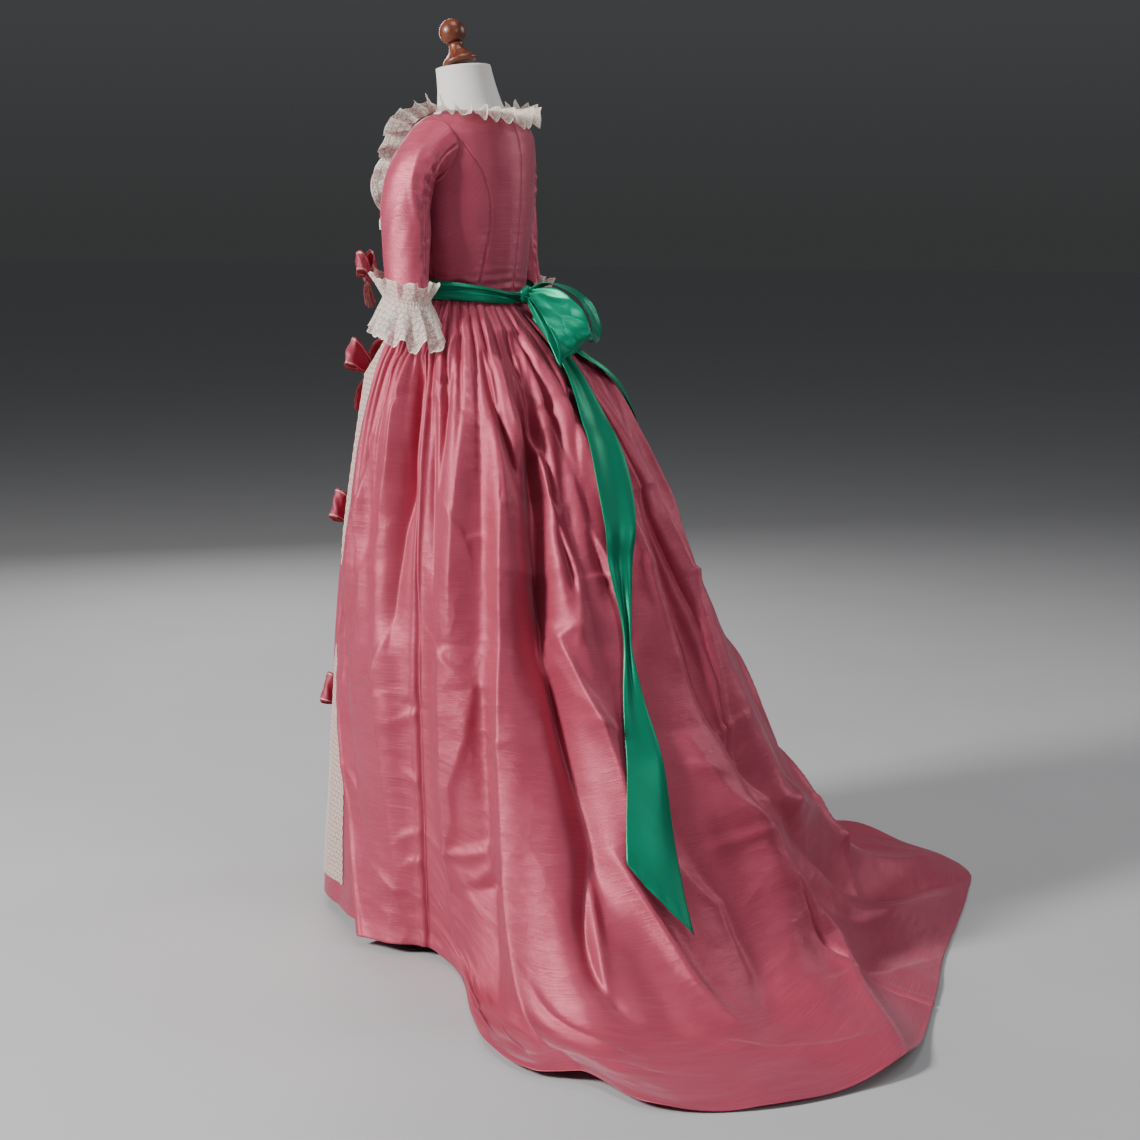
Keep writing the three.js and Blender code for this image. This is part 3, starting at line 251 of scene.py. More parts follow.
RIGHT_TAIL = table("fall across half", [
    [0.035, 0.512, 5], [0.1, 0.542, 18], [0.18, 0.602, 26], [0.28, 0.638, 26], [0.4, 0.66, 30],
    [0.5, 0.668, 38], [0.58, 0.67, 44]])
FORM_HIPS = table("z half front back", [
    [FORM_FOOT, 138, 96, 110], [1000, 150, 102, 120], [1040, 150, 102, 118], [1090, 138, 100, 106],
    [1130, 122, 98, 96], [1160, 116, 98, 90]])
NECK = table("z y half depth", [
    [1530, 4, 62, 58], [1548, 0, 57, 55], [1570, -5, 53, 52], [1593, -10, 51, 50]])


# ---- Reading the tables -------------------------------------------------------------------------
def through(keys, values, at):
    """A smooth curve through values at the keys, read at each place."""
    last = len(keys) - 1
    at = np.asarray(at, float)
    i = np.clip(np.searchsorted(keys, at, side="left") - 1, 0, last - 1)
    width = keys[i + 1] - keys[i]
    t = np.clip((at - keys[i]) / width, 0, 1)
    low = np.maximum(np.arange(last + 1) - 1, 0)
    high = np.minimum(np.arange(last + 1) + 1, last)
    slope = (values[high] - values[low]) / (keys[high] - keys[low])
    rise = values[i + 1] - values[i]
    bend = (slope[i] * width - rise) * (1 - t) - (slope[i + 1] * width - rise) * t
    return values[i] + rise * t + t * (1 - t) * bend


def read(rows, column, at):
    key = next(iter(rows))
    return through(rows[key], rows[column], at)


def straight_at(rows, at):
    """A table's second column, read along straight lines between its rows."""
    key, column = list(rows)
    return np.interp(at, rows[key], rows[column])


def point(x, y, z):
    return np.stack(np.broadcast_arrays(x, y, z), -1).astype(float)


def line(rows, across):
    return point(read(rows, "x", across), read(rows, "y", across), read(rows, "z", across))


def unit(v):
    return v / np.maximum(np.linalg.norm(v, axis=-1, keepdims=True), 1e-9)


def mix(a, b, t):
    return a + (b - a) * t


def bell(x):
    """1 at zero, falling off evenly on both sides."""
    return np.exp(-(x ** 2))


def lengths(points, axis):
    """How far apart a net's neighbouring points lie."""
    return np.linalg.norm(np.diff(points, axis=axis), axis=-1)


def summed(steps):
    return np.concatenate([[0], np.cumsum(steps)])


def grid(us, vs):
    """Every u at every v: rows run down v, columns along u."""
    return np.meshgrid(np.asarray(us, float), np.asarray(vs, float))


def normals(points, wrapped=False):
    """The way each point of a net faces."""
    ends = np.concatenate([points[:, -1:], points, points[:, :1]], 1) if wrapped else points
    along = np.gradient(ends, axis=1)
    along = along[:, 1:-1] if wrapped else along
    return unit(np.cross(along, np.gradient(points, axis=0)))


# ---- Unevenness ---------------------------------------------------------------------------------
def scatter(x, y, seed):
    """A steady random number from 0 to 1 for each pair of whole numbers."""
    value = np.sin(x * 127.1 + y * 311.7 + seed * 74.7) * 43758.5453
    return value - np.floor(value)


def drift(x, y, seed=0):
    """Slow unevenness from -1 to 1, about one swell to each unit of x and y."""
    gx, gy = np.floor(x), np.floor(y)
    fx, fy = x - gx, y - gy
    fx, fy = fx * fx * (3 - 2 * fx), fy * fy * (3 - 2 * fy)
    low = mix(scatter(gx, gy, seed), scatter(gx + 1, gy, seed), fx)
    high = mix(scatter(gx, gy + 1, seed), scatter(gx + 1, gy + 1, seed), fx)
    return 2 * mix(low, high, fy) - 1


def crumple(x, y, seed=0):
    """Crisp facets with creases between them, from about -0.5 to 0.5."""
    gx, gy = np.floor(x), np.floor(y)
    near = np.full(x.shape, 9.0)
    for ix in (-1, 0, 1):
        for iy in (-1, 0, 1):
            cx, cy = gx + ix, gy + iy
            dx = x - cx - scatter(cx, cy, seed)
            dy = y - cy - scatter(cx, cy, seed + 1)
            lean = 0.5 * (scatter(cx, cy, seed + 2) - 0.5)
            reach = np.sqrt(dx * dx + dy * dy + 0.03)
            near = np.minimum(near, reach + lean * dx + 0.3 * scatter(cx, cy, seed + 3))
    return near - 0.55


def crease(x, y, places, half_width, height, lean):
    """The rise of a crease along a line of places, at each x and y; all in millimetres."""
    places = np.array(places, float)
    steps = lengths(places, 0)
    starts = summed(steps)[:-1]
    best = np.full(x.shape, 1e9)
    side = np.zeros(x.shape)
    run = np.zeros(x.shape)
    for a, b, length, start in zip(places[:-1], places[1:], steps, starts):
        d = (b - a) / max(length, 1e-6)
        t = (x - a[0]) * d[0] + (y - a[1]) * d[1]
        off = -(x - a[0]) * d[1] + (y - a[1]) * d[0]
        clamped = np.clip(t, 0, length)
        gap = np.hypot(off, t - clamped)
        closer = gap < best
        best = np.where(closer, gap, best)
        side = np.where(closer, np.sign(off), side)
        run = np.where(closer, (start + clamped) / steps.sum(), run)
    swell = np.sin(np.pi * np.clip(0.08 + 0.84 * run, 0, 1)) ** 0.6
    width = half_width * np.where(side > 0, 1 + lean, 1 - 0.45 * lean)
    return height * swell * np.exp(-((best / width) ** 1.4))


# ---- Shapes shared with the CAD model -----------------------------------------------------------
def bodice(azimuth, z, out=0.0):
    def place(a, height):
        turn = np.radians(a)
        depth = np.where(np.cos(turn) > 0, read(BODICE, "front", height), read(BODICE, "back", height))
        return point(read(BODICE, "half", height) * np.sin(turn), -depth * np.cos(turn), height)
    azimuth, z = np.broadcast_arrays(np.asarray(azimuth, float), np.asarray(z, float))
    around = place(azimuth + 1, z) - place(azimuth - 1, z)
    rise = place(azimuth, z + 1) - place(azimuth, z - 1)
    return place(azimuth, z) + unit(np.cross(around, rise)) * np.asarray(out)[..., None]


def sleeve_point(turn, along, out=0.0):
    """The left sleeve: turn goes round it, 0 front, 90 outside, 180 back; along from 0 to 1."""
    t = np.clip(along, 0, 1)
    lean = np.radians(read(SLEEVE, "lean", t))
    angle = np.radians(turn)
    centre = point(read(SLEEVE, "x", along), read(SLEEVE, "y", along), read(SLEEVE, "z", along))
    reach = (read(SLEEVE, "width", t) + out) * np.sin(angle)
    depth = (read(SLEEVE, "depth", t) + out) * np.cos(angle)
    tube = centre + point(np.cos(lean) * reach, -depth, np.sin(lean) * reach)
    tube[..., 2] += ELBOW_TILT * np.cos(angle) * t ** 3
    wrapped = (turn + 90) % 360 - 90
    on_bodice = bodice(read(ARMHOLE, "azimuth", wrapped), read(ARMHOLE, "z", wrapped), 3.4 + 0 * turn)
    hold = (np.maximum(0, 1 - t / 0.34) ** 2)[..., None]
    return mix(tube, on_bodice, hold)


def waist(across):
    azimuth = read(WAIST_LINE, "azimuth", across)
    z = WAIST + WAIST_RISE * (0.5 + 0.5 * np.cos(np.radians(azimuth)))
    return bodice(azimuth, z, 7.0)


def skirt_fall(across, fall):
    across, fall = np.broadcast_arrays(np.asarray(across, float), np.asarray(fall, float))
    shape = across.shape
    a, f = across.ravel(), np.clip(fall.ravel(), -0.02, 1.02)
    stops = np.stack([waist(a)] + [line(rows, a) for rows in (HIP, THIGH, KNEE, LANDING, HEM)])
    last = len(STOPS) - 1
    i = np.clip(np.searchsorted(STOPS, f, side="left") - 1, 0, last - 1)
    n = np.arange(len(a))
    width = (STOPS[i + 1] - STOPS[i])[:, None]
    t = np.clip((f - STOPS[i])[:, None] / width, 0, 1)
    low = np.maximum(np.arange(last + 1) - 1, 0)
    high = np.minimum(np.arange(last + 1) + 1, last)
    slope = (stops[high] - stops[low]) / (STOPS[high] - STOPS[low])[:, None, None]
    rise = stops[i + 1, n] - stops[i, n]
    bend = (slope[i, n] * width - rise) * (1 - t) - (slope[i + 1, n] * width - rise) * t
    return (stops[i, n] + rise * t + t * (1 - t) * bend).reshape(shape + (3,))


ROBE_LENGTH = 1500  # between the front's length and the train's
PLACES_ROUND = np.linspace(0, 1, 401)
BELOW_KNEE = 0.72
ROUND_BELOW_KNEE = summed(lengths(skirt_fall(PLACES_ROUND, BELOW_KNEE), 0))


def round_robe(across):
    """How far round the robe a place lies, in millimetres, measured below the knee."""
    return np.interp(across, PLACES_ROUND, ROUND_BELOW_KNEE)


def main_folds(across, fall):
    relief = np.zeros(np.broadcast(across, fall).shape)
    for row in zip(*FOLDS.values()):
        start_fall, start, middle_fall, middle, end_fall, end, spread, height = row
        keys = np.array([start_fall, middle_fall, end_fall])
        place = through(keys, np.array([start, middle, end]), fall)
        reach = np.clip((fall - start_fall) / (end_fall - start_fall), 0, 1)
        swell = np.sin(np.pi * reach ** 0.7) ** 0.8
        relief = relief + height * swell * bell((across - place) / spread)
    return relief


def pleat_relief(across, fall):
    """Rounded pleats with sharp valleys between; each runs out at its own length."""
    place = across * PLEATS
    sway = 0.3 * drift(place * 0.6, fall * 6, 3) * np.clip(fall * 14, 0, 1)
    phase = np.cos(2 * np.pi * (place + sway))
    crisp = 1.7
    valley = (np.exp(-crisp * phase) - math.exp(-crisp)) / (math.exp(crisp) - math.exp(-crisp))
    own = 1 + 0.3 * np.sin(across * 91) + 0.22 * np.sin(across * 37 + 2)
    reach = 1 + 0.5 * drift(place * 0.9 + 4, fall * 0, 8)
    share = read(PLEAT_SHARE, "share", np.clip(fall / reach, 0, 1))
    return (0.8 - 2.2 * valley) * own * share * read(PLEAT_DEPTH, "depth", np.clip(fall, 0, 1))


def long_fold(across, fall, scale, places, half_width, height):
    """A fold along a line down the cloth; it swells from nothing and runs out again."""
    at, down = np.array(places, float).T
    wide, tall = scale
    lean = (through(down, at, fall + 0.01) - through(down, at, fall - 0.01)) / 0.02 * wide / tall
    gap = (across - through(down, at, fall)) * wide / np.sqrt(1 + lean ** 2)
    run = np.clip((fall - down[0]) / (down[-1] - down[0]), 0, 1)
    swell = np.sin(np.pi * run ** 0.8) ** 0.7
    return height * swell * np.exp(-(np.abs(gap) / half_width) ** 1.35)


def long_folds(across, fall, scale):
    relief = np.zeros(np.broadcast(across, fall).shape)
    for places, half_width, height in LONG_FOLDS:
        relief = relief + long_fold(across, fall, scale, places, half_width, height)
        if max(places)[0] < FOLDS_MIRRORED_TO:
            hidden = [(1 - at + FOLD_SHIFT, down * 0.97 + 0.01) for at, down in places]
            relief = relief + long_fold(across, fall, scale, hidden, half_width * 1.1, height * 0.9)
    return relief


def out_of_skirt(across, fall, step=0.004):
    """The smooth skirt's point, the way it faces, and how many millimetres one unit across and one
    unit of fall take there."""
    side = skirt_fall(across + step, fall) - skirt_fall(across - step, fall)
    down = skirt_fall(across, fall + step) - skirt_fall(across, fall - step)
    scale = np.linalg.norm(side, axis=-1) / (2 * step), np.linalg.norm(down, axis=-1) / (2 * step)
    return skirt_fall(across, fall), -unit(np.cross(side, down)), scale


def robe_creases():
    for places, half_width, height, lean in CREASES:
        yield places, half_width, height, lean
        if max(places)[0] < CREASES_MIRRORED_TO:
            shift = 0.012 * math.sin(60 * places[0][0] + 9 * places[0][1])
            hidden = [(1 - across + shift, fall + 0.7 * shift) for across, fall in places]
            yield hidden, half_width, height * 0.9, -lean
    for step in range(NICKS):
        fall = 0.112 + 0.021 * step
        yield [(0.325, fall), (0.337, fall + 0.006)], 3.2, 3.5, 0.4


def add_creases(relief, across, fall):
    """Adds the pressed and crumpled creases, each only to the cloth near it."""
    for places, half_width, height, lean in robe_creases():
        a, f = np.mean(places, axis=0)
        close = (np.abs(across - a) < 0.12) & (np.abs(fall - f) < 0.28)
        if close.any():
            wide, tall = out_of_skirt(a, f)[2]
            local = [((at - a) * wide, (down - f) * tall) for at, down in places]
            x, y = (across[close] - a) * wide, (fall[close] - f) * tall
            relief[close] += crease(x, y, local, half_width, height, lean)


def robe_relief(across, fall, scale):
    """How far the robe's cloth stands off the smooth skirt: pleats, folds, crumples and creases."""
    x, y = round_robe(across), fall * ROBE_LENGTH
    low = np.clip((fall - 0.16) / 0.34, 0, 1)
    patchy = 0.55 + 0.45 * drift(x / 420, y / 380, 5)
    relief = 0.8 * main_folds(across, fall) + pleat_relief(across, fall) + long_folds(across, fall, scale)
    relief = relief + low * 7 * drift(x / 140, y / 420, 11)
    train = np.clip((fall - 0.55) / 0.2, 0, 1)
    for height, wide, slant, tall, seed in (
            (patchy * (15 + 9 * train), 170, 900, 250, 21), (patchy ** 2 * 9, 96, 300, 78, 31),
            (patchy ** 2 * 2.6, 56, -160, 36, 33)):
        relief = relief + low * height * crumple(x / wide + y / slant, y / tall, seed)
    relief = relief + np.clip(fall * 8, 0, 1) * drift(x / 52, y / 150, 41)
    add_creases(relief, across, fall)
    return relief


LOWEST = 2.0
EASED_FROM = 3.0


def robe_point(across, fall):
    """The cloth's point; near the floor it eases down to its lowest height."""
    base, out, scale = out_of_skirt(across, fall)
    spot = base + out * robe_relief(across, fall, scale)[..., None]
    above = spot[..., 2] - LOWEST - EASED_FROM
    eased_down = LOWEST + EASED_FROM * np.exp(np.minimum(above, 0) / EASED_FROM)
    spot[..., 2] = np.where(above < 0, eased_down, spot[..., 2])
    return spot


# ---- Making meshes ------------------------------------------------------------------------------
def placed(name, data):
    obj = bpy.data.objects.new(name, data)
    bpy.context.scene.collection.objects.link(obj)
    return obj


def faces_of(index):
    """The four corners of each face of a net, from the grid of its points' numbers."""
    return np.stack([index[:-1, :-1], index[1:, :-1], index[1:, 1:], index[:-1, 1:]], -1).reshape(-1, 4)


def net(name, points, finish, cloth_uv, wrapped=False, turned=False):
    """A sheet through a net of points, in millimetres, with its flat cloth as its UV map, in metres."""
    index = np.arange(points[..., 0].size).reshape(points.shape[:2])
    if wrapped:
        index = np.hstack([index, index[:, :1]])
    quads = faces_of(index)
    corners = faces_of(np.arange(cloth_uv[..., 0].size).reshape(cloth_uv.shape[:2]))
    if turned:
        quads, corners = quads[:, ::-1], corners[:, ::-1]
    mesh = bpy.data.meshes.new(name)
    mesh.from_pydata((points.reshape(-1, 3) * MM).tolist(), [], quads.tolist())
    layer = mesh.uv_layers.new(name="cloth")
    layer.data.foreach_set("uv", cloth_uv.reshape(-1, 2)[corners.ravel()].astype(np.float32).ravel())
    mesh.polygons.foreach_set("use_smooth", np.ones(len(quads), bool))
    mesh.materials.append(finish)
    mesh.update()
    return placed(name, mesh)


def flat_uv(points, wrapped=False):
    """UVs in metres from the net's own mean lengths across and down."""
    closed = np.concatenate([points, points[:, :1]], 1) if wrapped else points
    u = summed(lengths(closed, 1).mean(0)) * MM
    v = summed(lengths(points, 0).mean(1)) * MM
    return np.stack(np.meshgrid(u, v), -1)


def edge_distance(obj, gap):
    """Keeps how far each point lies from the cloth's edge, in metres, for its finish."""
    kept = obj.data.attributes.new("edge", "FLOAT", "POINT")
    kept.data.foreach_set("value", gap.astype(np.float32).ravel())


def hemmed(points, normal, fold=0.5, depth=1.0):
    """Adds the turned-under edge below the last row."""
    down = unit(points[-1] - points[-3])
    tip = points[-1] + down * fold - normal[-1] * depth / 2
    under = points[-1] - normal[-1] * depth
    back = points[-4] - normal[-4] * depth
    return np.concatenate([points, [tip], [under], [back]])


def face_out(obj):
    """Turns a tube's faces so that they look away from its own middle."""
    mesh = obj.data
    middle = sum((v.co for v in mesh.vertices), Vector()) / len(mesh.vertices)
    if sum((f.center - middle).dot(f.normal) * f.area for f in mesh.polygons) < 0:
        mesh.flip_normals()


def look_away(obj):
    """Turns a sheet round the pole so that its faces look away from it."""
    mesh = obj.data
    if sum((f.center.x * f.normal.x + f.center.y * f.normal.y) * f.area for f in mesh.polygons) < 0:
        mesh.flip_normals()


def joined(name, objects):
    """One piece of several meshes; they keep their materials."""
    for o in bpy.context.selected_objects:
        o.select_set(False)
    for o in objects:
        o.select_set(True)
    bpy.context.view_layer.objects.active = objects[0]
    bpy.ops.object.join()
    whole = bpy.context.view_layer.objects.active
    whole.name = name
    whole.data.name = name
    return whole


def plain(obj):
    """Takes an object's modifiers off again and keeps the mesh that they made."""
    bpy.context.view_layer.update()
    made = bpy.data.meshes.new_from_object(obj.evaluated_get(bpy.context.evaluated_depsgraph_get()))
    obj.modifiers.clear()
    obj.data = made
    return obj


def thickened(obj, thickness):
    """Gives a ribbon its thickness, and returns it as a plain mesh."""
    solid = obj.modifiers.new("thickness", "SOLIDIFY")
    solid.thickness = thickness * MM
    solid.offset = 0
    return plain(obj)


def declare(obj):
    """Puts a cloth piece in its CAD node's place: hangs it on the body and hides the CAD node's part."""
    node_name = obj.name.removesuffix("_cloth")
    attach(obj, BODY)
    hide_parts(node_name)
    return obj


# ---- Finishes -----------------------------------------------------------------------------------
def group(name, outputs, inputs):
    """A shader node group; its inputs are labels with their values, all of them plain numbers."""
    tree = bpy.data.node_groups.new(name, "ShaderNodeTree")
    for label, value in inputs.items():
        tree.interface.new_socket(label, in_out="INPUT", socket_type="NodeSocketFloat").default_value = value
    for label in outputs:
        tree.interface.new_socket(label, in_out="OUTPUT", socket_type="NodeSocketFloat")
    return tree, tree.nodes.new("NodeGroupInput").outputs, tree.nodes.new("NodeGroupOutput")


def feed(tree, made, **inputs):
    """Sets a node's inputs by label, or by number as _0, _1: other nodes' outputs are linked to them."""
    for key, value in inputs.items():
        socket = made.inputs[int(key[1:])] if key[0] == "_" else made.inputs[key.replace("_", " ")]
        if isinstance(value, bpy.types.NodeSocket):
            tree.links.new(value, socket)
        else:
            socket.default_value = value
    return made


def node(tree, kind, settings=None, **inputs):
    made = tree.nodes.new(kind)
    for key, value in (settings or {}).items():
        setattr(made, key, value)
    return feed(tree, made, **inputs)


def maths(tree, operation, a, b=0.0):
    return node(tree, "ShaderNodeMath", {"operation": operation}, _0=a, _1=b).outputs[0]


def add(tree, first, *others):
    total = first
    for other in others:
        total = maths(tree, "ADD", total, other)
    return total


def times(tree, a, b):
    return maths(tree, "MULTIPLY", a, b)


def minus(tree, a, b):
    return maths(tree, "SUBTRACT", a, b)


def ramp(tree, value, low, high, to_low=0.0, to_high=1.0):
    return node(tree, "ShaderNodeMapRange", {"clamp": True}, Value=value, _1=low, _2=high, _3=to_low,
                _4=to_high).outputs[0]


def noise(tree, place, scale=1.0, detail=2.0, distortion=0.0):
    return node(tree, "ShaderNodeTexNoise", None, Vector=place, Scale=scale, Detail=detail,
                Distortion=distortion).outputs[0]


def cloth_uv_of(tree):
    return node(tree, "ShaderNodeUVMap", {"uv_map": "cloth"}).outputs[0]


def cloth_place(tree, across_scale, down_scale):
    return node(tree, "ShaderNodeMapping", None, Vector=cloth_uv_of(tree),
                Scale=(across_scale, down_scale, 1)).outputs[0]


def object_place(tree):
    return node(tree, "ShaderNodeTexCoord").outputs["Object"]


def bump(tree, height, strength, distance):
    return node(tree, "ShaderNodeBump", None, Height=height, Strength=strength, Distance=distance).outputs[0]


def blend_colour(tree, factor, a, b):
    """A mix of two colours; the first may come from another node."""
    first = a if isinstance(a, bpy.types.NodeSocket) else (*a, 1)
    return node(tree, "ShaderNodeMix", {"data_type": "RGBA"}, Factor=factor, _6=first, _7=(*b, 1)).outputs[2]


def facets(tree):
    """Crisp creases between small flat faces, strong in some places and faint in others."""
    def layer(across, down, depth):
        bent = node(tree, "ShaderNodeTexNoise", None, Vector=cloth_place(tree, across * 0.8, down * 0.8),
                    Scale=1.0, Detail=2.0).outputs[1]
        place = node(tree, "ShaderNodeVectorMath", {"operation": "MULTIPLY_ADD"}, _0=bent, _1=(0.8, 0.8, 0.8),
                     _2=cloth_place(tree, across, down)).outputs[0]
        cells = node(tree, "ShaderNodeTexVoronoi", None, Vector=place, Scale=1.0).outputs[0]
        return times(tree, cells, depth)
    slow = noise(tree, cloth_place(tree, 3.1, 3.7), detail=1.0)
    both = add(tree, layer(7, 13, 7.0), layer(24, 40, 1.8))
    return times(tree, both, ramp(tree, slow, 0.35, 0.65, 0.25, 1.0))


def weave_group():
    """Fine ribs across the cloth, uneven thick threads and slow tone changes."""
    tree, given, made = group("weave", ["Tone", "Height"], {"Slubs": 1.0, "Ribs": 1.0, "Creased": 1.0})
    slub = noise(tree, cloth_place(tree, 14, 900), detail=3.0)
    warp = noise(tree, cloth_place(tree, 1300, 24))
    rib = node(tree, "ShaderNodeTexWave", {"bands_direction": "Y"}, Vector=cloth_place(tree, 1, 1),
               Scale=420.0, Distortion=0.6, Detail=1.0).outputs[1]
    slow = noise(tree, cloth_place(tree, 5, 9), detail=3.0)
    crinkle = noise(tree, cloth_place(tree, 34, 52), detail=3.0, distortion=0.6)
    thick = times(tree, ramp(tree, slub, 0.52, 0.8), given["Slubs"])
    tone = add(tree, times(tree, thick, 0.5), times(tree, slow, 0.6), times(tree, warp, 0.25))
    ribs = times(tree, rib, times(tree, given["Ribs"], 0.2))
    height = add(tree, ribs, add(tree, thick, times(tree, warp, 0.3)), times(tree, crinkle, 0.9),
                 times(tree, facets(tree), given["Creased"]))
    feed(tree, made, Tone=tone, Height=height)
    return tree


def material(name):
    made = bpy.data.materials.new(name)
    made.use_nodes = True
    return made, made.node_tree, made.node_tree.nodes["Principled BSDF"]


def woven(name, dark, light, roughness, sheen, sheen_tint, slubs, ribs, depth, specular=0.5, metallic=0.0,
          creased=0.0):
    made, tree, shader = material(name)
    cloth = node(tree, "ShaderNodeGroup", {"node_tree": WEAVE}, Slubs=slubs, Ribs=ribs, Creased=creased)
    tone = cloth.outputs["Tone"]
    feed(tree, shader, Base_Color=blend_colour(tree, tone, dark, light),
         Roughness=ramp(tree, tone, 0.1, 0.9, roughness + 0.05, roughness - 0.04),
         Normal=bump(tree, cloth.outputs["Height"], 0.5, depth), Sheen_Weight=sheen, Sheen_Roughness=0.35,
         Sheen_Tint=(*sheen_tint, 1), Specular_IOR_Level=specular, Metallic=metallic)
    return made


def ribbon_finish():
    """Deep rose ribbon with a pale line near each edge."""
    made = woven("ribbon deep rose", (0.24, 0.018, 0.04), (0.38, 0.05, 0.09), 0.46, 0.2, (1, 0.7, 0.75),
                 0.7, 1.0, 0.0005, metallic=0.15, creased=0.35)
    tree = made.node_tree
    shader = tree.nodes["Principled BSDF"]
    edge = node(tree, "ShaderNodeAttribute", {"attribute_name": "edge"}).outputs["Fac"]
    line_at = minus(tree, 0.0022, maths(tree, "ABSOLUTE", minus(tree, edge, 0.0042)))
    under = shader.inputs["Base Color"].links[0].from_socket
    mask = ramp(tree, line_at, 0.001, 0.0016)
    feed(tree, shader, Base_Color=blend_colour(tree, mask, under, (0.62, 0.42, 0.33)))
    return made


LACE_REPEAT = (0.0125, 0.0105)  # the lace's repeat along and down, in metres


def lace_group():
    """Lace as a mask: net, sprigs of five petals, wavy stems, and a thick edging; edge is in metres."""
    tree, given, made = group("lace pattern", ["Mask", "Dense"], {"Edge": 0.05, "Net": 1.0})
    uv = cloth_uv_of(tree)

    def net_lines(angle):
        turned = node(tree, "ShaderNodeMapping", None, Vector=uv, Rotation=(0, 0, angle)).outputs[0]
        x = node(tree, "ShaderNodeSeparateXYZ", None, Vector=turned).outputs[0]
        return ramp(tree, maths(tree, "PINGPONG", x, 0.0009), 0.0002, 0.0004, 1, 0)

    def in_cell(value, size):
        """Where a place lies in its repeat, from -0.5 to 0.5."""
        return minus(tree, maths(tree, "FRACT", maths(tree, "DIVIDE", value, size)), 0.5)

    def most(a, b):
        return maths(tree, "MAXIMUM", a, b)

    def line_near(value, inner, outer):
        return ramp(tree, value, inner, outer, 1, 0)

    along, down = node(tree, "ShaderNodeSeparateXYZ", None, Vector=uv).outputs[:2]
    row = maths(tree, "FLOOR", maths(tree, "DIVIDE", down, LACE_REPEAT[1]))
    cell_x = in_cell(add(tree, along, times(tree, row, 0.0071)), LACE_REPEAT[0])
    cell_y = in_cell(down, LACE_REPEAT[1])
    radius = maths(tree, "SQRT", add(tree, times(tree, cell_x, cell_x), times(tree, cell_y, cell_y)))
    petal = times(tree, maths(tree, "COSINE", times(tree, maths(tree, "ARCTAN2", cell_y, cell_x), 5)), 0.08)
    rim = maths(tree, "ABSOLUTE", minus(tree, add(tree, petal, 0.28), radius))
    flower = most(line_near(rim, 0.03, 0.06), line_near(radius, 0.07, 0.1))
    swirl = maths(tree, "SINE", add(tree, times(tree, along, 419.0), times(tree, down, 190.0)))
    stem = maths(tree, "ABSOLUTE", minus(tree, cell_y, times(tree, swirl, 0.36)))
    dense = most(most(flower, line_near(stem, 0.035, 0.07)), line_near(given["Edge"], 0.0016, 0.0026))
    thin = times(tree, most(net_lines(0.9), net_lines(-0.9)), given["Net"])
    mask = most(times(tree, dense, 0.95), add(tree, times(tree, thin, 0.42), 0.24))
    feed(tree, made, Mask=mask, Dense=dense)
    return tree


def lace_finish(name, net_colour, thread_colour):
    made, tree, shader = material(name)
    edge = node(tree, "ShaderNodeAttribute", {"attribute_name": "edge"}).outputs["Fac"]
    pattern = node(tree, "ShaderNodeGroup", {"node_tree": LACE}, Edge=edge, Net=1.0).outputs
    feed(tree, shader, Alpha=pattern["Mask"], Normal=bump(tree, pattern["Dense"], 0.2, 0.0002),
         Base_Color=blend_colour(tree, pattern["Dense"], net_colour, thread_colour),
         Roughness=0.8, Sheen_Weight=0.3, Sheen_Roughness=0.5, Specular_IOR_Level=0.25)
    return made


def jersey_finish():
    """The form's matt knitted cover."""
    made, tree, shader = material("form jersey")
    place = object_place(tree)
    knit = node(tree, "ShaderNodeTexWave", {"bands_direction": "Z"}, Vector=place, Scale=190.0,
                Distortion=2.0, Detail=2.0).outputs[1]
    height = add(tree, times(tree, knit, 0.5), noise(tree, place, 260.0))
    soil = ramp(tree, noise(tree, place, 6.0, 4.0), 0.3, 0.75)
    feed(tree, shader, Base_Color=blend_colour(tree, soil, (0.72, 0.70, 0.68), (0.62, 0.595, 0.57)),
         Normal=bump(tree, height, 0.35, 0.0004), Roughness=0.9, Sheen_Weight=0.25, Specular_IOR_Level=0.2)
    return made


def wood_finish():
    """Red-brown polished wood with long grain and a clear coat."""
    made, tree, shader = material("turned wood")
    long = node(tree, "ShaderNodeMapping", None, Vector=object_place(tree), Scale=(46, 46, 5)).outputs[0]
    grain = ramp(tree, noise(tree, long, 1.0, 6.0, 0.8), 0.3, 0.7)
    pores = noise(tree, long, 7.0, 3.0)
    feed(tree, shader, Base_Color=blend_colour(tree, grain, (0.055, 0.010, 0.004), (0.20, 0.042, 0.012)),
         Roughness=ramp(tree, pores, 0.3, 0.7, 0.34, 0.48), Normal=bump(tree, pores, 0.15, 0.0004),
         Coat_Weight=0.3, Coat_Roughness=0.24)
    return made


WEAVE = weave_group()
LACE = lace_group()
TAFFETA = woven("taffeta rose fitted", (0.34, 0.027, 0.062), (0.54, 0.092, 0.16), 0.42, 0.3,
                (1.0, 0.75, 0.85), 1.0, 1.0, 0.0006, specular=0.65, metallic=0.32, creased=0.5)
DRAPED = woven("taffeta rose draped", (0.32, 0.022, 0.055), (0.52, 0.082, 0.145), 0.47, 0.3,
               (1.0, 0.75, 0.85), 1.0, 1.0, 0.0006, specular=0.6, metallic=0.34, creased=3.0)
SATIN = woven("satin green", (0.0, 0.15, 0.08), (0.0, 0.30, 0.16), 0.4, 0.05,
              (0.75, 1.0, 0.9), 0.35, 0.5, 0.0003, specular=0.3, metallic=0.5)
RIBBON = ribbon_finish()
FRILL_LACE = lace_finish("lace ivory", (0.76, 0.66, 0.57), (0.84, 0.77, 0.68))
STRIP_LACE = lace_finish("lace over rose", (0.70, 0.56, 0.49), (0.84, 0.76, 0.66))
JERSEY = jersey_finish()
WOOD = wood_finish()
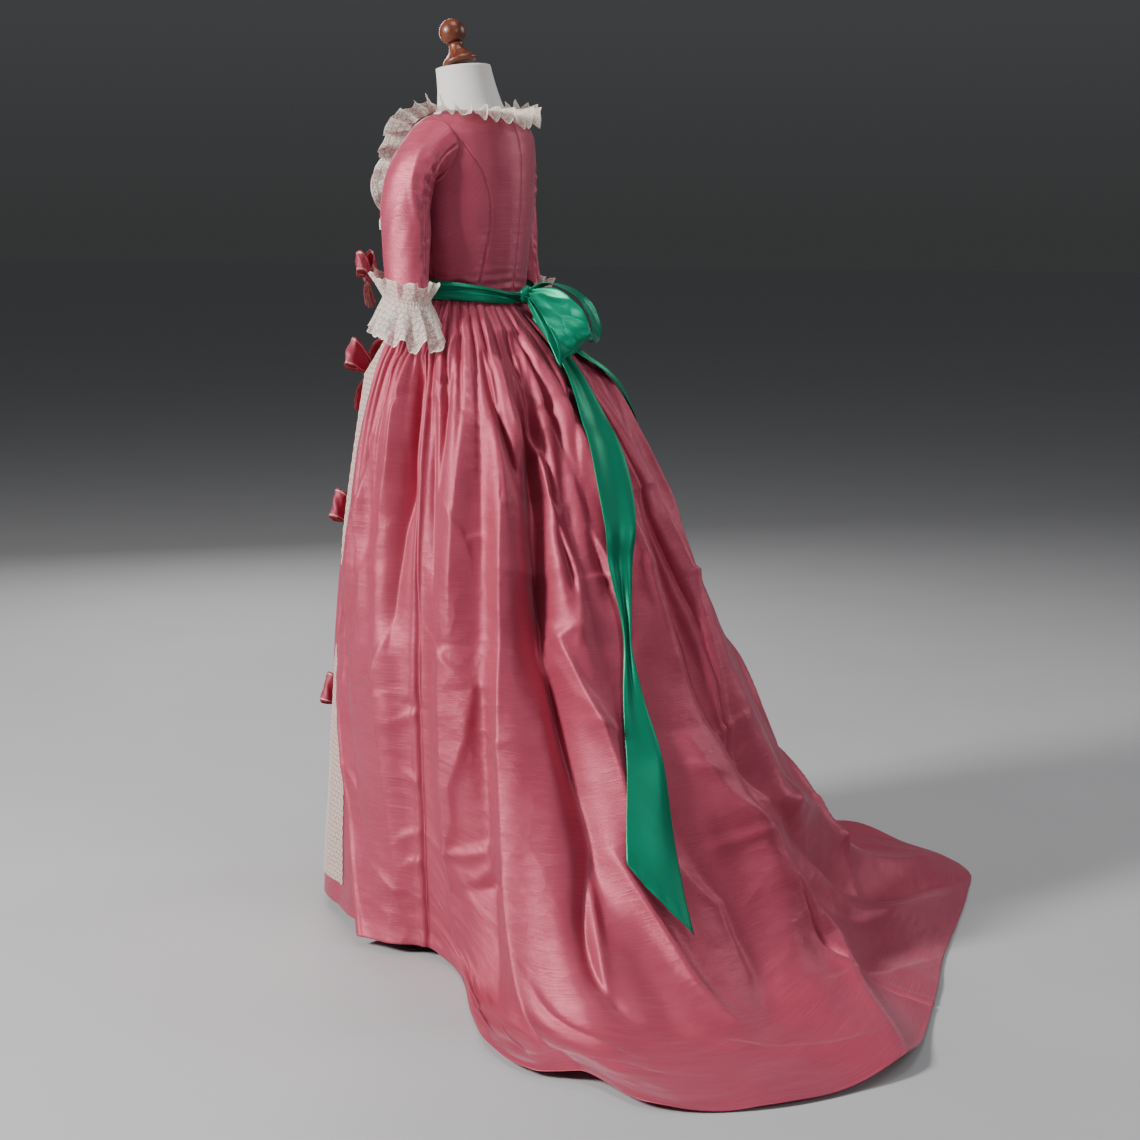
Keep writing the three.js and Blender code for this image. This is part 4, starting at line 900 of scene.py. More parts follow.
THREAD = woven("sewing thread", (0.52, 0.15, 0.2), (0.72, 0.32, 0.36), 0.6, 0.2, (1, 0.9, 0.9), 0, 0, 0.0001)


# ---- Stitches -----------------------------------------------------------------------------------
def stitch_tree():
    """A row of small stitches that lie along a path, each a little longer or shorter."""
    tree = bpy.data.node_groups.new("row of stitches", "GeometryNodeTree")
    tree.interface.new_socket("Path", in_out="INPUT", socket_type="NodeSocketGeometry")
    for label in ("Spacing", "Length", "Thickness"):
        tree.interface.new_socket(label, in_out="INPUT", socket_type="NodeSocketFloat")
    tree.interface.new_socket("Thread", in_out="INPUT", socket_type="NodeSocketMaterial")
    tree.interface.new_socket("Stitches", in_out="OUTPUT", socket_type="NodeSocketGeometry")
    given, made = tree.nodes.new("NodeGroupInput").outputs, tree.nodes.new("NodeGroupOutput")
    curve = node(tree, "GeometryNodeMeshToCurve", None, Mesh=given["Path"]).outputs[0]
    places = node(tree, "GeometryNodeResampleCurve", {"mode": "LENGTH"}, Curve=curve,
                  Length=given["Spacing"]).outputs[0]
    tangent = tree.nodes.new("GeometryNodeInputTangent").outputs[0]
    turn = node(tree, "FunctionNodeAlignRotationToVector", {"axis": "Z"}, Vector=tangent).outputs[0]
    uneven = node(tree, "FunctionNodeRandomValue", {"data_type": "FLOAT"}, Seed=7, _2=0.8, _3=1.2).outputs[1]
    size = node(tree, "ShaderNodeCombineXYZ", None, X=given["Thickness"], Y=given["Thickness"],
                Z=times(tree, given["Length"], uneven)).outputs[0]
    one = node(tree, "GeometryNodeMeshIcoSphere", None, Radius=0.5, Subdivisions=1).outputs[0]
    row = node(tree, "GeometryNodeInstanceOnPoints", None, Points=places, Instance=one, Rotation=turn,
               Scale=size).outputs[0]
    real = node(tree, "GeometryNodeRealizeInstances", None, Geometry=row).outputs[0]
    done = node(tree, "GeometryNodeSetMaterial", None, Geometry=real, Material=given["Thread"]).outputs[0]
    tree.links.new(done, made.inputs[0])
    return tree


STITCH_ROW = stitch_tree()


def stitches(path, spacing=0.006, length=0.0026, thickness=0.0006):
    """Stitches along a path of points in millimetres, as a plain mesh."""
    mesh = bpy.data.meshes.new("stitches")
    mesh.from_pydata((path * MM).tolist(), [(i, i + 1) for i in range(len(path) - 1)], [])
    obj = placed("stitches", mesh)
    rule = obj.modifiers.new("stitches", "NODES")
    rule.node_group = STITCH_ROW
    inputs = [item for item in STITCH_ROW.interface.items_tree if item.in_out == "INPUT"]
    sockets = {item.name: item.identifier for item in inputs}
    values = {"Spacing": spacing, "Length": length, "Thickness": thickness, "Thread": THREAD}
    for label, value in values.items():
        rule[sockets[label]] = value
    return plain(obj)


# ---- Bodice -------------------------------------------------------------------------------------
def edge_columns(count):
    """Shares from 0 to 1, closer together at both ends."""
    t = np.linspace(0, 1, count)
    return t - 0.75 * np.sin(2 * np.pi * t) / (2 * np.pi)


def seam_dip(inward, depth=1.1, reach=2.2):
    """How far a panel's edges turn in at its two seams, by the distance from the nearer one."""
    return -depth * bell(inward / reach)


def bodice_piece(name, side, edge_a, edge_b, top_at):
    u, v = grid(edge_columns(50), np.linspace(0, 1, 96))
    z = mix(BODICE_FOOT, top_at(u), v)
    azimuth = mix(edge_a(z), edge_b(z), u)
    inward = np.minimum(u, 1 - u) * lengths(bodice(azimuth, z), 1).sum(1)[:, None]
    pucker = 0.5 * drift(u * 2, z / 7, 51) * bell(inward / 14)
    strain = drift(azimuth / 26 + z / 90, z / 46, 52) * 1.1 + drift(azimuth / 9, z / 110, 53) * 0.6
    wrinkles = np.sin(z / 2.9 + 2 * drift(azimuth / 12, z / 60, 54)) * (np.cos(np.radians(azimuth)) < 0)
    waist_lines = 1.3 * bell((z - 1196) / 26) * wrinkles
    rise = seam_dip(inward) + pucker + strain + waist_lines * np.clip(inward / 12, 0, 1)
    spot = bodice(azimuth, z, rise)
    spot[..., 0] *= side
    obj = net(f"{name}_cloth", spot, TAFFETA, flat_uv(spot), turned=side < 0)
    declare(obj)


TUCKED = 7  # degrees that the cloth runs on under the sleeve's head


def under_sleeve(z, start):
    """From 0 below the armhole to 1 beside it, where the cloth runs on under the sleeve's head."""
    return np.clip((z - start) / 14, 0, 1)


def bodice_pieces(side, label):
    def back(z):
        return straight_at(BACK_SEAM, z)

    def back_armhole(z):
        return back(z) - TUCKED * under_sleeve(z, 1452)

    def front_armhole(z):
        return straight_at(ARMHOLE_FRONT, z) + TUCKED * under_sleeve(z, 1374)

    pieces = {
        "back": (back_armhole, lambda z: 180 + 0 * z, lambda u: BACK_TOP + 0 * u),
        "side": (lambda z: SIDE_EDGE + 0 * z, back, lambda u: straight_at(SIDE_TOP, u) + 15),
        "front": (lambda z: straight_at(NECKLINE, z), front_armhole, lambda u: FRONT_TOP + 0 * u),
    }
    for part, (edge_a, edge_b, top) in pieces.items():
        bodice_piece(f"bodice_{part}_{label}", side, edge_a, edge_b, top)


# ---- Sleeves ------------------------------------------------------------------------------------
SLEEVE_SEAM = 174  # where the sleeve's back seam runs, by turn


def sleeve_relief(turn, along):
    """The back seam and its pucker, the cap's gathers, creases in the elbow and armpit, and slack."""
    gap = ((turn - SLEEVE_SEAM + 180) % 360 - 180) * 0.75
    seam = -2.0 * bell(gap / 2.2) + 1.2 * bell((gap - 5) / 3)
    pucker = 1.3 * drift(gap / 9, along * 34, 61) * bell(gap / 16) * (0.3 + along)
    cap = bell(along / 0.08) * 0.3 * np.sin(np.radians(turn) * 26 + 2 * drift(turn / 40, along * 9, 62))
    inner = np.maximum(0, -np.sin(np.radians(turn - 25)))
    elbow = 3.2 * inner * bell((along - 0.78) / 0.16) * drift(turn / 70 + along * 3, along * 17, 63)
    slack = 1.6 * drift(turn / 55, along * 5, 64) + 1.0 * drift(turn / 24 + along * 6, along * 8, 65)
    armpit = 11 * bell((turn - 185) / 40) * bell((along - 0.27) / 0.12)
    slack = slack + armpit * crumple(turn / 34 + along * 9, along * 20 - turn / 60, 66)
    drag = ((turn - 108) - 90 * (along - 0.1)) / 9
    slack = slack + 2.6 * bell(drag) * bell((along - 0.3) / 0.3)
    rise = (seam + pucker + cap + elbow + slack) * np.clip(along * 18, 0, 1)
    return rise * (1 - 0.9 * bell((along - 0.98) / 0.04)) - 3.0 * bell(along / 0.01)


def sleeve(side, label):
    turn, along = grid(np.linspace(0, 360, 109)[:-1], np.linspace(0, 1, 130))
    spot = sleeve_point(turn, along)
    facing = normals(spot, wrapped=True)
    outward = np.sign((facing * (spot - spot.mean(1, keepdims=True))).sum(-1).mean())
    facing = facing * outward
    spot = hemmed(spot + facing * sleeve_relief(turn, along)[..., None], facing)
    spot[..., 0] *= side
    obj = net(f"sleeve_{label}_cloth", spot, TAFFETA, flat_uv(spot, wrapped=True), wrapped=True,
              turned=(side * outward) > 0)
    face_out(obj)
    declare(obj)


# ---- Frills -------------------------------------------------------------------------------------
def frill(name, base, waves, depth, swing, us, rows, wrapped, scallops, seed, heading=0.0):
    """A gathered strip of lace. base(u) gives the gathering line, the way it stands and its waves' way;
    a heading stands up beyond the gathering line."""
    above = np.array([-1, -0.66, -0.33]) if heading else np.array([])
    u, v = grid(us, np.concatenate([above, np.linspace(0, 1, rows)]))
    rise, v = np.maximum(-v, 0), np.maximum(v, 0)
    spot, stand, wave, along = base(u)
    phase = 2 * np.pi * waves * u + 0.55 * np.sin(u * 17.3) + 0.4 * np.sin(u * 41.7 + 1.3)
    scallop = 0.055 * np.abs(np.sin(np.pi * scallops * u)) * v ** 3
    reach = depth(u) * (1 + 0.09 * np.sin(u * 57.1) + 0.05 * np.cos(phase)) * (1 + scallop)
    lively = swing * (1 + 0.35 * drift(u * waves * 0.8, v * 1.2, seed))
    second = 0.22 * swing * np.sin(2.4 * phase + 3 * drift(u * waves * 0.5, v * 2, seed + 1))
    sway = (lively * np.cos(phase) + second) * v
    tuck = 0.45 * swing * np.sin(phase + 0.6) * v ** 1.3
    droop = -0.06 * depth(u) * v * v * (1 + drift(u * waves * 0.6, v, seed + 2))
    gathers = (0.5 + 0.7 * rise) * np.cos(phase * 4) * np.exp(-v * 9)
    out = spot + stand * (reach * v)[..., None] + wave * (sway + gathers)[..., None] + along * tuck[..., None]
    out[..., 2] += droop + rise * heading
    cloth = lengths(out[len(v) // 2], 0).mean() * MM
    uv = np.stack(np.meshgrid(np.arange(out.shape[1] + int(wrapped)) * cloth, v[:, 0]), -1)
    deep = np.concatenate([depth(u), depth(u)[:, :1]], 1) if wrapped else depth(u)
    uv[..., 1] = (1 - uv[..., 1]) * deep * MM + rise[:, :1] * heading * MM
    obj = net(f"{name}_cloth", out, FRILL_LACE, uv, wrapped=wrapped)
    edge_distance(obj, (1 - v) * reach * MM)
    declare(obj)


def neck_base(u):
    azimuth = mix(NECK_START, 360 - NECK_START, u)
    left = azimuth <= 180
    around = np.where(left, azimuth, 360 - azimuth)
    z = read(NECK_EDGE, "z", around)
    spot = bodice(azimuth, z, 1.6 + 0 * u)
    away = unit(bodice(azimuth, z, 2.6 + 0 * u) - spot)
    further_z = read(NECK_EDGE, "z", np.where(left, around + 0.5, around - 0.5))
    along = unit(bodice(azimuth + 0.5, further_z, 1.6 + 0 * u) - spot)
    low = np.clip((1500 - z) / 120, 0, 1)[..., None]
    back = np.clip((around - 80) / 38, 0, 1)[..., None]
    lift = mix(mix(-0.25, -0.75, back), 0.05, low)
    stand = unit(away * 0.9 + np.array([0, 0, 1.0]) * lift)
    return spot, stand, unit(np.cross(along, stand)), along


CUFF_GATHERS = 1173.5
SLEEVE_FOOT = 1166


def cuff_base(side, z, lift, close):
    """The gathering line of a cuff that stands up or hangs by its lift, held in on the inner side."""
    def base(u):
        turn = 360 * u
        along = (1 - (z - SLEEVE_FOOT) / 260) + 0 * u
        spot = sleeve_point(turn, along, 3.8)
        spot[..., 2] += (CUFF_GATHERS - z) * 0.9
        away = unit(sleeve_point(turn, along, 13.2) - spot)
        inner = np.maximum(0, -np.sin(np.radians(turn)))
        flare = (math.sqrt(1 - lift * lift) * (1 - close * inner))[..., None]
        stand = unit(away * flare + np.array([0, 0, lift]))
        ahead = unit(sleeve_point(turn + 2, along, 3.8) - spot)
        flip = np.array([side, 1, 1])
        return spot * flip, stand * flip, unit(np.cross(ahead, stand)) * flip, ahead * flip
    return base


def cuffs(side, label):
    def backward(u):
        return 0.5 - 0.5 * np.cos(2 * np.pi * u)

    def inner(u):
        return np.maximum(0, -np.sin(2 * np.pi * u))

    def upper_depth(u):
        return mix(52, 34, backward(u)) * (1 - 0.35 * inner(u))

    def lower_depth(u):
        return mix(58, 76, backward(u)) * (1 - 0.75 * inner(u))
    us = np.linspace(0, 1, CUFF_WAVES * 30 + 1)[:-1]
    frill(f"cuff_upper_{label}", cuff_base(side, 1176, 0.9, 0), CUFF_WAVES, upper_depth, 6, us, 18, True, 33,
          71)
    frill(f"cuff_lower_{label}", cuff_base(side, 1171, -0.88, 0.85), CUFF_WAVES, lower_depth, 7, us, 24, True,
          33, 75, heading=7.0)


def neck_frill():
    us = np.linspace(0, 1, NECK_WAVES * 28 + 1)
    frill("neck_frill", neck_base, NECK_WAVES, lambda u: NECK_FRILL * (1 + 0.17 * np.cos(4 * np.pi * u)),
          15, us, 18, False, 74, 81)


# ---- The robe -----------------------------------------------------------------------------------
def robe_panel(name, first, last, per_pleat, rows):
    us = np.linspace(first / PLEATS, last / PLEATS, (last - first) * per_pleat + 1)
    u, v = grid(us, np.linspace(0, 1, rows) ** 0.94)
    spot = robe_point(u, v)
    facing = -normals(spot)
    share = (u - us[0]) / (us[-1] - us[0])
    inward = np.minimum(share, 1 - share) * lengths(spot, 1).sum(1)[:, None]
    pucker = 0.7 * drift(u * 40, v * 60, 55) * bell(inward / 17) * np.clip(v * 12, 0, 1)
    welt = 2.4 * bell((inward - 10) / 6) * np.clip(v * 8 - 0.6, 0, 1)
    spot = hemmed(spot + facing * (seam_dip(inward, 4.0, 3.4) + welt + pucker)[..., None], facing, 0.6, 1.2)
    spot[..., 2] = np.maximum(spot[..., 2], 0.4)
    down = summed(lengths(spot, 0).mean(1))
    obj = net(f"{name}_cloth", spot, DRAPED, np.stack(np.meshgrid(round_robe(us) * MM, down * MM), -1))
    look_away(obj)
    if first == 0 or last == PLEATS:
        edge, next_in = (0, 1) if first == 0 else (-1, -2)
        path = mix(spot[3:-4, edge], spot[3:-4, next_in], 0.6) + facing[3:-1, next_in] * 0.25
        obj = joined(obj.name, [obj, stitches(path)])
    declare(obj)


def robe():
    robe_panel("skirt_front_left", 0, SIDE_PLEAT, 16, 220)
    robe_panel("skirt_back_left", SIDE_PLEAT, PLEATS // 2, 21, 300)
    robe_panel("skirt_back_right", PLEATS // 2, PLEATS - SIDE_PLEAT, 21, 300)
    robe_panel("skirt_front_right", PLEATS - SIDE_PLEAT, PLEATS, 16, 220)


# ---- Petticoat ----------------------------------------------------------------------------------
PETTICOAT_TOP = 1176
PETTICOAT_WAIST_EDGE = 74
HIP_FALL = 0.13  # where the petticoat's table starts; above it the cloth runs straight to the waist
GATHERS = 8
LEVEL = np.array([1, 1, 0])


def petticoat_point(across, fall, out=0.0):
    low = np.maximum(fall, HIP_FALL)
    azimuth = across * read(PETTICOAT, "edge", low)
    share = np.abs(azimuth) / 50
    front, corner, side = (read(PETTICOAT, part, low) for part in ("front", "corner", "side"))
    beyond = mix(corner, side, np.clip(share - 1, 0, 1) ** 1.3)
    reach = np.where(share < 1, mix(front, corner, share ** 2), beyond)
    turn = np.radians(azimuth)
    below = point(reach * np.sin(turn), -reach * np.cos(turn), read(PETTICOAT, "z", low))
    top = bodice(across * PETTICOAT_WAIST_EDGE, PETTICOAT_TOP + 0 * across, 2.0)
    spot = mix(top, below, np.clip(fall / HIP_FALL, 0, 1)[..., None])
    swell = np.sin(np.pi * np.clip(fall * 1.6, 0, 1))
    gathers = 4 * np.cos(across * np.pi * GATHERS) * swell * np.where(np.abs(across) < 0.55, 1, 0.3)
    return spot + unit(spot * LEVEL) * (gathers + out)[..., None]


def petticoat_relief(across, fall):
    x, y = across * 460, fall * 1160
    rise = 4.5 * drift(x / 90, y / 330, 91) + 7 * crumple(x / 120, y / 210, 92) * np.clip(fall * 3, 0, 1)
    return rise * np.clip(fall * 9, 0, 1)


def petticoat():
    u, v = grid(np.linspace(-1, 1, 151), np.linspace(0, 1, 150))
    spot = petticoat_point(u, v, petticoat_relief(u, v))
    facing = normals(spot)
    facing = facing * np.sign((facing * spot * LEVEL).sum(-1).mean())
    spot = hemmed(spot, facing, 0.6, 1.2)
    obj = net("petticoat_front_cloth", spot, DRAPED, flat_uv(spot))
    look_away(obj)
    declare(obj)


STRIP = (0.3125, 0.5625)  # the lace strip's edges across the petticoat
STRIP_FALL = (0.07, 0.95)
SCALLOP = 0.012


def lace_strip(side, label):
    u, v = grid(np.linspace(0, 1, 31), np.linspace(0, 1, 300))
    fall = mix(*STRIP_FALL, v)
    half = (STRIP[1] - STRIP[0]) / 2 - SCALLOP + SCALLOP * np.abs(np.sin(np.pi * v * 52))
    across = (sum(STRIP) / 2 + (2 * u - 1) * half) * side
    spot = petticoat_point(across, fall, petticoat_relief(across, fall) + 2.4)
    obj = net(f"lace_strip_{label}_cloth", spot, STRIP_LACE, flat_uv(spot))
    look_away(obj)
    edge_distance(obj, np.minimum(u, 1 - u) * lengths(spot, 1).sum(1)[:, None] * MM)
    outward = unit(spot * LEVEL)
    rows = [stitches(spot[:, column] + outward[:, column] * 0.4) for column in (2, -3)]
    declare(joined(obj.name, [obj, *rows]))


# ---- Ribbons and bows ---------------------------------------------------------------------------
def smooth_path(points, count):
    """A smooth curve through the points, with as many places along it."""
    points = np.array(points, float)
    ends = np.vstack([2 * points[0] - points[1], points, 2 * points[-1] - points[-2]])
    spans = len(points) - 1
    t = np.linspace(0, spans, count)
    i = np.minimum(t.astype(int), spans - 1)
    s = (t - i)[:, None]
    a, b, c, d = ends[i], ends[i + 1], ends[i + 2], ends[i + 3]
    bend, twist = 2 * a - 5 * b + 4 * c - d, 3 * b - a - 3 * c + d
    return 0.5 * (2 * b + (c - a) * s + bend * s ** 2 + twist * s ** 3)


def ribbon(name, path, half_widths, across, finish, folds=2.0, seed=0, long=60, wide=17, sag=0.0, crisp=0.0):
    """A ribbon along a path, gathered into small folds where it is narrow."""
    middle = smooth_path(path, long)
    t = np.linspace(0, 1, long)[:, None]
    half = through(np.linspace(0, 1, len(half_widths)), np.array(half_widths, float), t)
    across = unit(np.array(across, float))
    facing = unit(np.cross(unit(np.gradient(middle, axis=0)), across))
    v = np.linspace(-1, 1, wide)[None]
    full = half.max()
    squeezed = np.clip(1 - half / full, 0, 1)
    ripple = folds * (0.15 + squeezed) * np.sin(v * (4 + 5 * squeezed) + seed)
    soft = 0.035 * full * drift(v * 1.3 + seed, t * 5, seed + 7)
    crumpled = crumple(v * 1.1 + 2.4 * t + seed, 7 * t + 0.6 * v, seed + 3)
    cup = (sag * (1 - v ** 2) + crisp * crumpled) * np.sin(np.pi * t)
    lift = ripple + soft + cup
    spot = middle[:, None] + across * (half * v)[..., None] + facing[:, None] * lift[..., None]
    length = lengths(middle, 0).sum()
    uv = np.stack(np.meshgrid((v[0] + 1) * full * MM, t[:, 0] * length * MM), -1)
    obj = net(name, spot, finish, uv)
    edge_distance(obj, (1 - np.abs(v)) * np.maximum(half, 1) * MM)
    return obj


def knot(centre, size, finish, seed=0):
    """A pulled-tight knot: a squeezed ball with folds round it."""
    turn, rise = grid(np.linspace(0, 2 * np.pi, 41)[:-1], np.linspace(0.02, np.pi - 0.02, 26))
    swell = 1 + 0.07 * np.sin(5 * rise + 2 * np.sin(turn + seed)) + 0.05 * np.cos(3 * turn + seed)
    spot = point(np.sin(rise) * np.cos(turn), np.sin(rise) * np.sin(turn), np.cos(rise)) * swell[..., None]
    spot = spot * np.array(size) + np.array(centre)
    obj = net("knot", spot, finish, flat_uv(spot, wrapped=True), wrapped=True)
    edge_distance(obj, np.full(spot.shape[:2], 0.02))
    face_out(obj)
    return obj


def about_x(degrees):
    c, s = math.cos(math.radians(degrees)), math.sin(math.radians(degrees))
    return np.array([[1, 0, 0], [0, c, -s], [0, s, c]])


def about_z(degrees):
    c, s = math.cos(math.radians(degrees)), math.sin(math.radians(degrees))
    return np.array([[c, -s, 0], [s, c, 0], [0, 0, 1]])


# A small bow's loop and tail on its right, as shares of its width: x outward, y up, z off the cloth,
# and half the ribbon's width there.
BOW_LOOP = table("x y z half", [
    [0, 0, 0.12, 0.06], [0.26, 0.14, 0.24, 0.17], [0.46, 0.27, 0.17, 0.2], [0.43, 0.25, 0.06, 0.19],
    [0.2, 0.1, 0.03, 0.14], [0, 0, 0.07, 0.06]])
BOW_TAIL = table("x y z half", [
    [0.02, -0.02, 0.08, 0.05], [0.13, -0.28, 0.12, 0.11], [0.22, -0.58, 0.06, 0.15]])


def small_bow(name, width, place, azimuth, tilt, seed):
    def strip(part, rows, side, across, *how):
        path = np.stack([side * rows["x"], rows["y"], rows["z"]], -1) * width
        return ribbon(part, path, rows["half"] * width, across, RIBBON, width * 0.02, *how)
    parts = [knot((0, 0, width * 0.1), (width * 0.13, width * 0.15, width * 0.11), RIBBON, seed)]
    for side in (-1, 1):
        loop_across, tail_across = (-side * 0.45, 1, 0.1), (1, side * 0.35, 0)
        parts.append(strip("loop", BOW_LOOP, side, loop_across, seed + side, 44, 13, 0, width * 0.05))
        parts.append(strip("tail", BOW_TAIL, side, tail_across, seed + 3 * side, 24, 13, 0, width * 0.04))
    whole = joined(f"{name}_cloth", parts)
    verts = np.empty(len(whole.data.vertices) * 3)
    whole.data.vertices.foreach_get("co", verts)
    verts = verts.reshape(-1, 3) @ (about_z(azimuth) @ about_x(90 - tilt)).T + np.array(place) * MM
    whole.data.vertices.foreach_set("co", verts.ravel())
    whole.data.update()
    thickened(whole, 0.5)
    declare(whole)


SKIRT_BOWS = [  # name, fall, width and seed
    ("bow_skirt_upper", 0.13, 138, 1), ("bow_skirt_middle", 0.385, 144, 2), ("bow_skirt_lower", 0.68, 150, 3)]


def bows():
    for name, fall, width, seed in SKIRT_BOWS:
        place = petticoat_point(np.array(0.0), np.array(fall), np.array(6.0))
        small_bow(name, width, place, 0, 6, seed)
    small_bow("bow_neck", 84, bodice(0, 1258, 5.0), 0, -6, 4)
    for side, label in ((1, "left"), (-1, "right")):
        place = sleeve_point(np.array(-2.0), np.array(0.87), 32.0) * np.array([side, 1, 1])
        small_bow(f"bow_cuff_{label}", 96, place, side * 22, 0, 5 + side)


# ---- Sash ---------------------------------------------------------------------------------------
KNOT = (0, 130, 1180)
NEAR_LOOP = [(2, 130, 1182), (15, 170, 1180), (30, 214, 1158), (42, 250, 1124), (46, 264, 1088),
             (36, 254, 1080), (24, 222, 1110), (12, 176, 1144), (2, 136, 1174)]
FAR_LOOP = [(-2, 130, 1183), (-16, 166, 1202), (-34, 214, 1184), (-46, 240, 1150), (-52, 248, 1110),
            (-44, 232, 1094), (-30, 202, 1118), (-12, 166, 1150), (-2, 136, 1174)]
LOOP_HALF_WIDTHS = [8, 22, 34, 40, 41, 39, 34, 22, 8]


def sash_band():
    azimuth, v = grid(np.linspace(0, 360, 241)[:-1], np.linspace(0, 1, 30))
    z = mix(read(SASH, "foot", azimuth), read(SASH, "top", azimuth), v)
    narrow = bell((azimuth - 180) / 26)
    lay = v * (1.9 + 0.7 * np.sin(np.radians(azimuth) * 2)) + 0.5 * drift(azimuth / 50, v * 2, 101)
    crumpled = 1.6 * crumple(azimuth / 26 + v, v * 2 + azimuth / 60, 102)
    roll = (2.0 + 1.2 * narrow) * np.sin(np.pi * 2 * lay) + crumpled
    edge_in = -2.2 * (np.exp(-v * 14) + np.exp(-(1 - v) * 14))
    spot = bodice(azimuth, z, SASH_OUT + 0.6 + roll + edge_in)
    obj = net("sash_band_cloth", spot, SATIN, flat_uv(spot, wrapped=True), wrapped=True, turned=True)
    look_away(obj)
    declare(obj)


def sash_bow():
    far_widths = [half * 0.8 for half in LOOP_HALF_WIDTHS]
    whole = joined("sash_bow_cloth", [
        knot(KNOT, (18, 9, 16), SATIN, 2),
        ribbon("near", NEAR_LOOP, LOOP_HALF_WIDTHS, (0.74, -0.3, -0.6), SATIN, 4, 4, 120, 33, 4, 13),
        ribbon("far", FAR_LOOP, far_widths, (0.95, 0.2, 0.12), SATIN, 3, 9, 120, 33, 3, 8),
    ])
    thickened(whole, 0.6)
    declare(whole)


def eased(values, reach):
    """Values evened out down a net's columns."""
    weights = np.hanning(2 * reach + 3)[1:-1]
    padded = np.pad(values, ((reach, reach), (0, 0)), mode="edge")
    return sum(w * padded[i:i + len(values)] for i, w in enumerate(weights / weights.sum()))


def tail_point(rows, u, fall, out):
    """A point of a sash tail, laid over the highest of the folds under it."""
    middle = read(rows, "across", fall)
    facing, scale = out_of_skirt(middle, fall, 0.01)[1:]
    reach = read(rows, "half", fall) / scale[0]
    clear = np.full(fall.shape, -60.0)
    for near in (-1.2, -0.8, -0.4, 0, 0.4, 0.8, 1.2):
        across = middle + near * np.maximum(reach, 0.006)
        clear = np.maximum(clear, robe_relief(across, fall, out_of_skirt(across, fall)[2]))
    return skirt_fall(middle + reach * u, fall) + facing * (eased(clear, 7) + 3.5 + out)[..., None]


def sash_tail(name, rows, seed):
    u, v = grid(np.linspace(-1, 1, 25), np.linspace(0, 1, 200))
    level = mix(rows["fall"][0], rows["fall"][-1], v)
    folded = bell(read(rows, "half", level) / 26)
    narrow = 4 * folded * (1 + np.cos(u * 4.4 + seed))
    lengthwise = narrow + 2.4 * (1 - folded) * (1 + np.cos(u * 2.2 + 3 * v + seed))
    uneven = 1.2 * drift(u * 0.8 + seed, v * 7, seed)
    crumpled = uneven + 2.2 * crumple(u * 0.7 + 3 * v + seed, v * 5, seed + 1)
    spot = tail_point(rows, u, level + 0.028 * u * v ** 4, lengthwise + crumpled * np.clip(v * 5, 0, 1))
    obj = net(f"{name}_cloth", spot, SATIN, flat_uv(spot))
    thickened(obj, 0.5)
    declare(obj)


# ---- Dress form and stand -----------------------------------------------------------------------
def ring(z, half, front, back, y=0.0, sides=120):
    a = np.linspace(0, 2 * np.pi, sides, endpoint=False)
    depth = np.where(np.cos(a) > 0, front, back)
    return point(half * np.sin(a), y - depth * np.cos(a), z + 0 * a)


def dress_form():
    rings = [ring(FORM_FOOT, 0.5, 0.5, 0.5)]
    for z in np.linspace(FORM_FOOT, 1160, 26):
        rings.append(ring(z, *(read(FORM_HIPS, part, z) for part in ("half", "front", "back"))))
    for z in np.linspace(1190, 1519, 60):
        sizes = (read(BODICE, part, z) - FORM_INSET for part in ("half", "front", "back"))
        rings.append(ring(z - FORM_DROP, *sizes))
    for z in np.linspace(1530, 1593, 18):
        half, depth, y = read(NECK, "half", z), read(NECK, "depth", z), read(NECK, "y", z)
        made = ring(z, half, depth, depth, y)
        made[:, 2] += (made[:, 1] - y) * math.tan(math.radians(NECK_LEAN)) * np.clip((z - 1530) / 50, 0, 1)
        rings.append(made)
    top = rings[-1]
    for shrink, lift in ((0.97, 1.2), (0.9, 1.8), (0.5, 1.8), (0.01, 1.8)):
        rings.append(mix(top.mean(0), top, shrink) + np.array([0, 0, lift - 2]))
    spot = np.stack(rings)
    obj = net("form_body_cover", spot, JERSEY, flat_uv(spot, wrapped=True), wrapped=True)
    face_out(obj)
    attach(obj, BODY)
    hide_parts("form_body")


def turned(name, profile, place=(0, 0, 0), lean=0.0, sides=72):
    profile = np.array(profile, float)
    a = np.linspace(0, 2 * np.pi, sides, endpoint=False)
    spot = point(profile[:, :1] * np.cos(a), profile[:, :1] * np.sin(a), profile[:, 1:])
    spot = spot @ about_x(lean).T + np.array(place)
    obj = net(f"{name}_wood", spot, WOOD, flat_uv(spot, wrapped=True), wrapped=True)
    face_out(obj)
    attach(obj, BODY)
    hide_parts(name)


def rounded(corners, radius, steps=5):
    """A turned outline with its inner corners rounded."""
    corners = [np.array(c, float) for c in corners]
    out = [corners[0]]
    for before, at, after in zip(corners, corners[1:], corners[2:]):
        cut = min(radius, 0.45 * np.linalg.norm(at - before), 0.45 * np.linalg.norm(after - at))
        a, b = at + unit(before - at) * cut, at + unit(after - at) * cut
        for t in np.linspace(0, 1, steps):
            out.append((1 - t) ** 2 * a + 2 * t * (1 - t) * at + t * t * b)
    out.append(corners[-1])
    return out


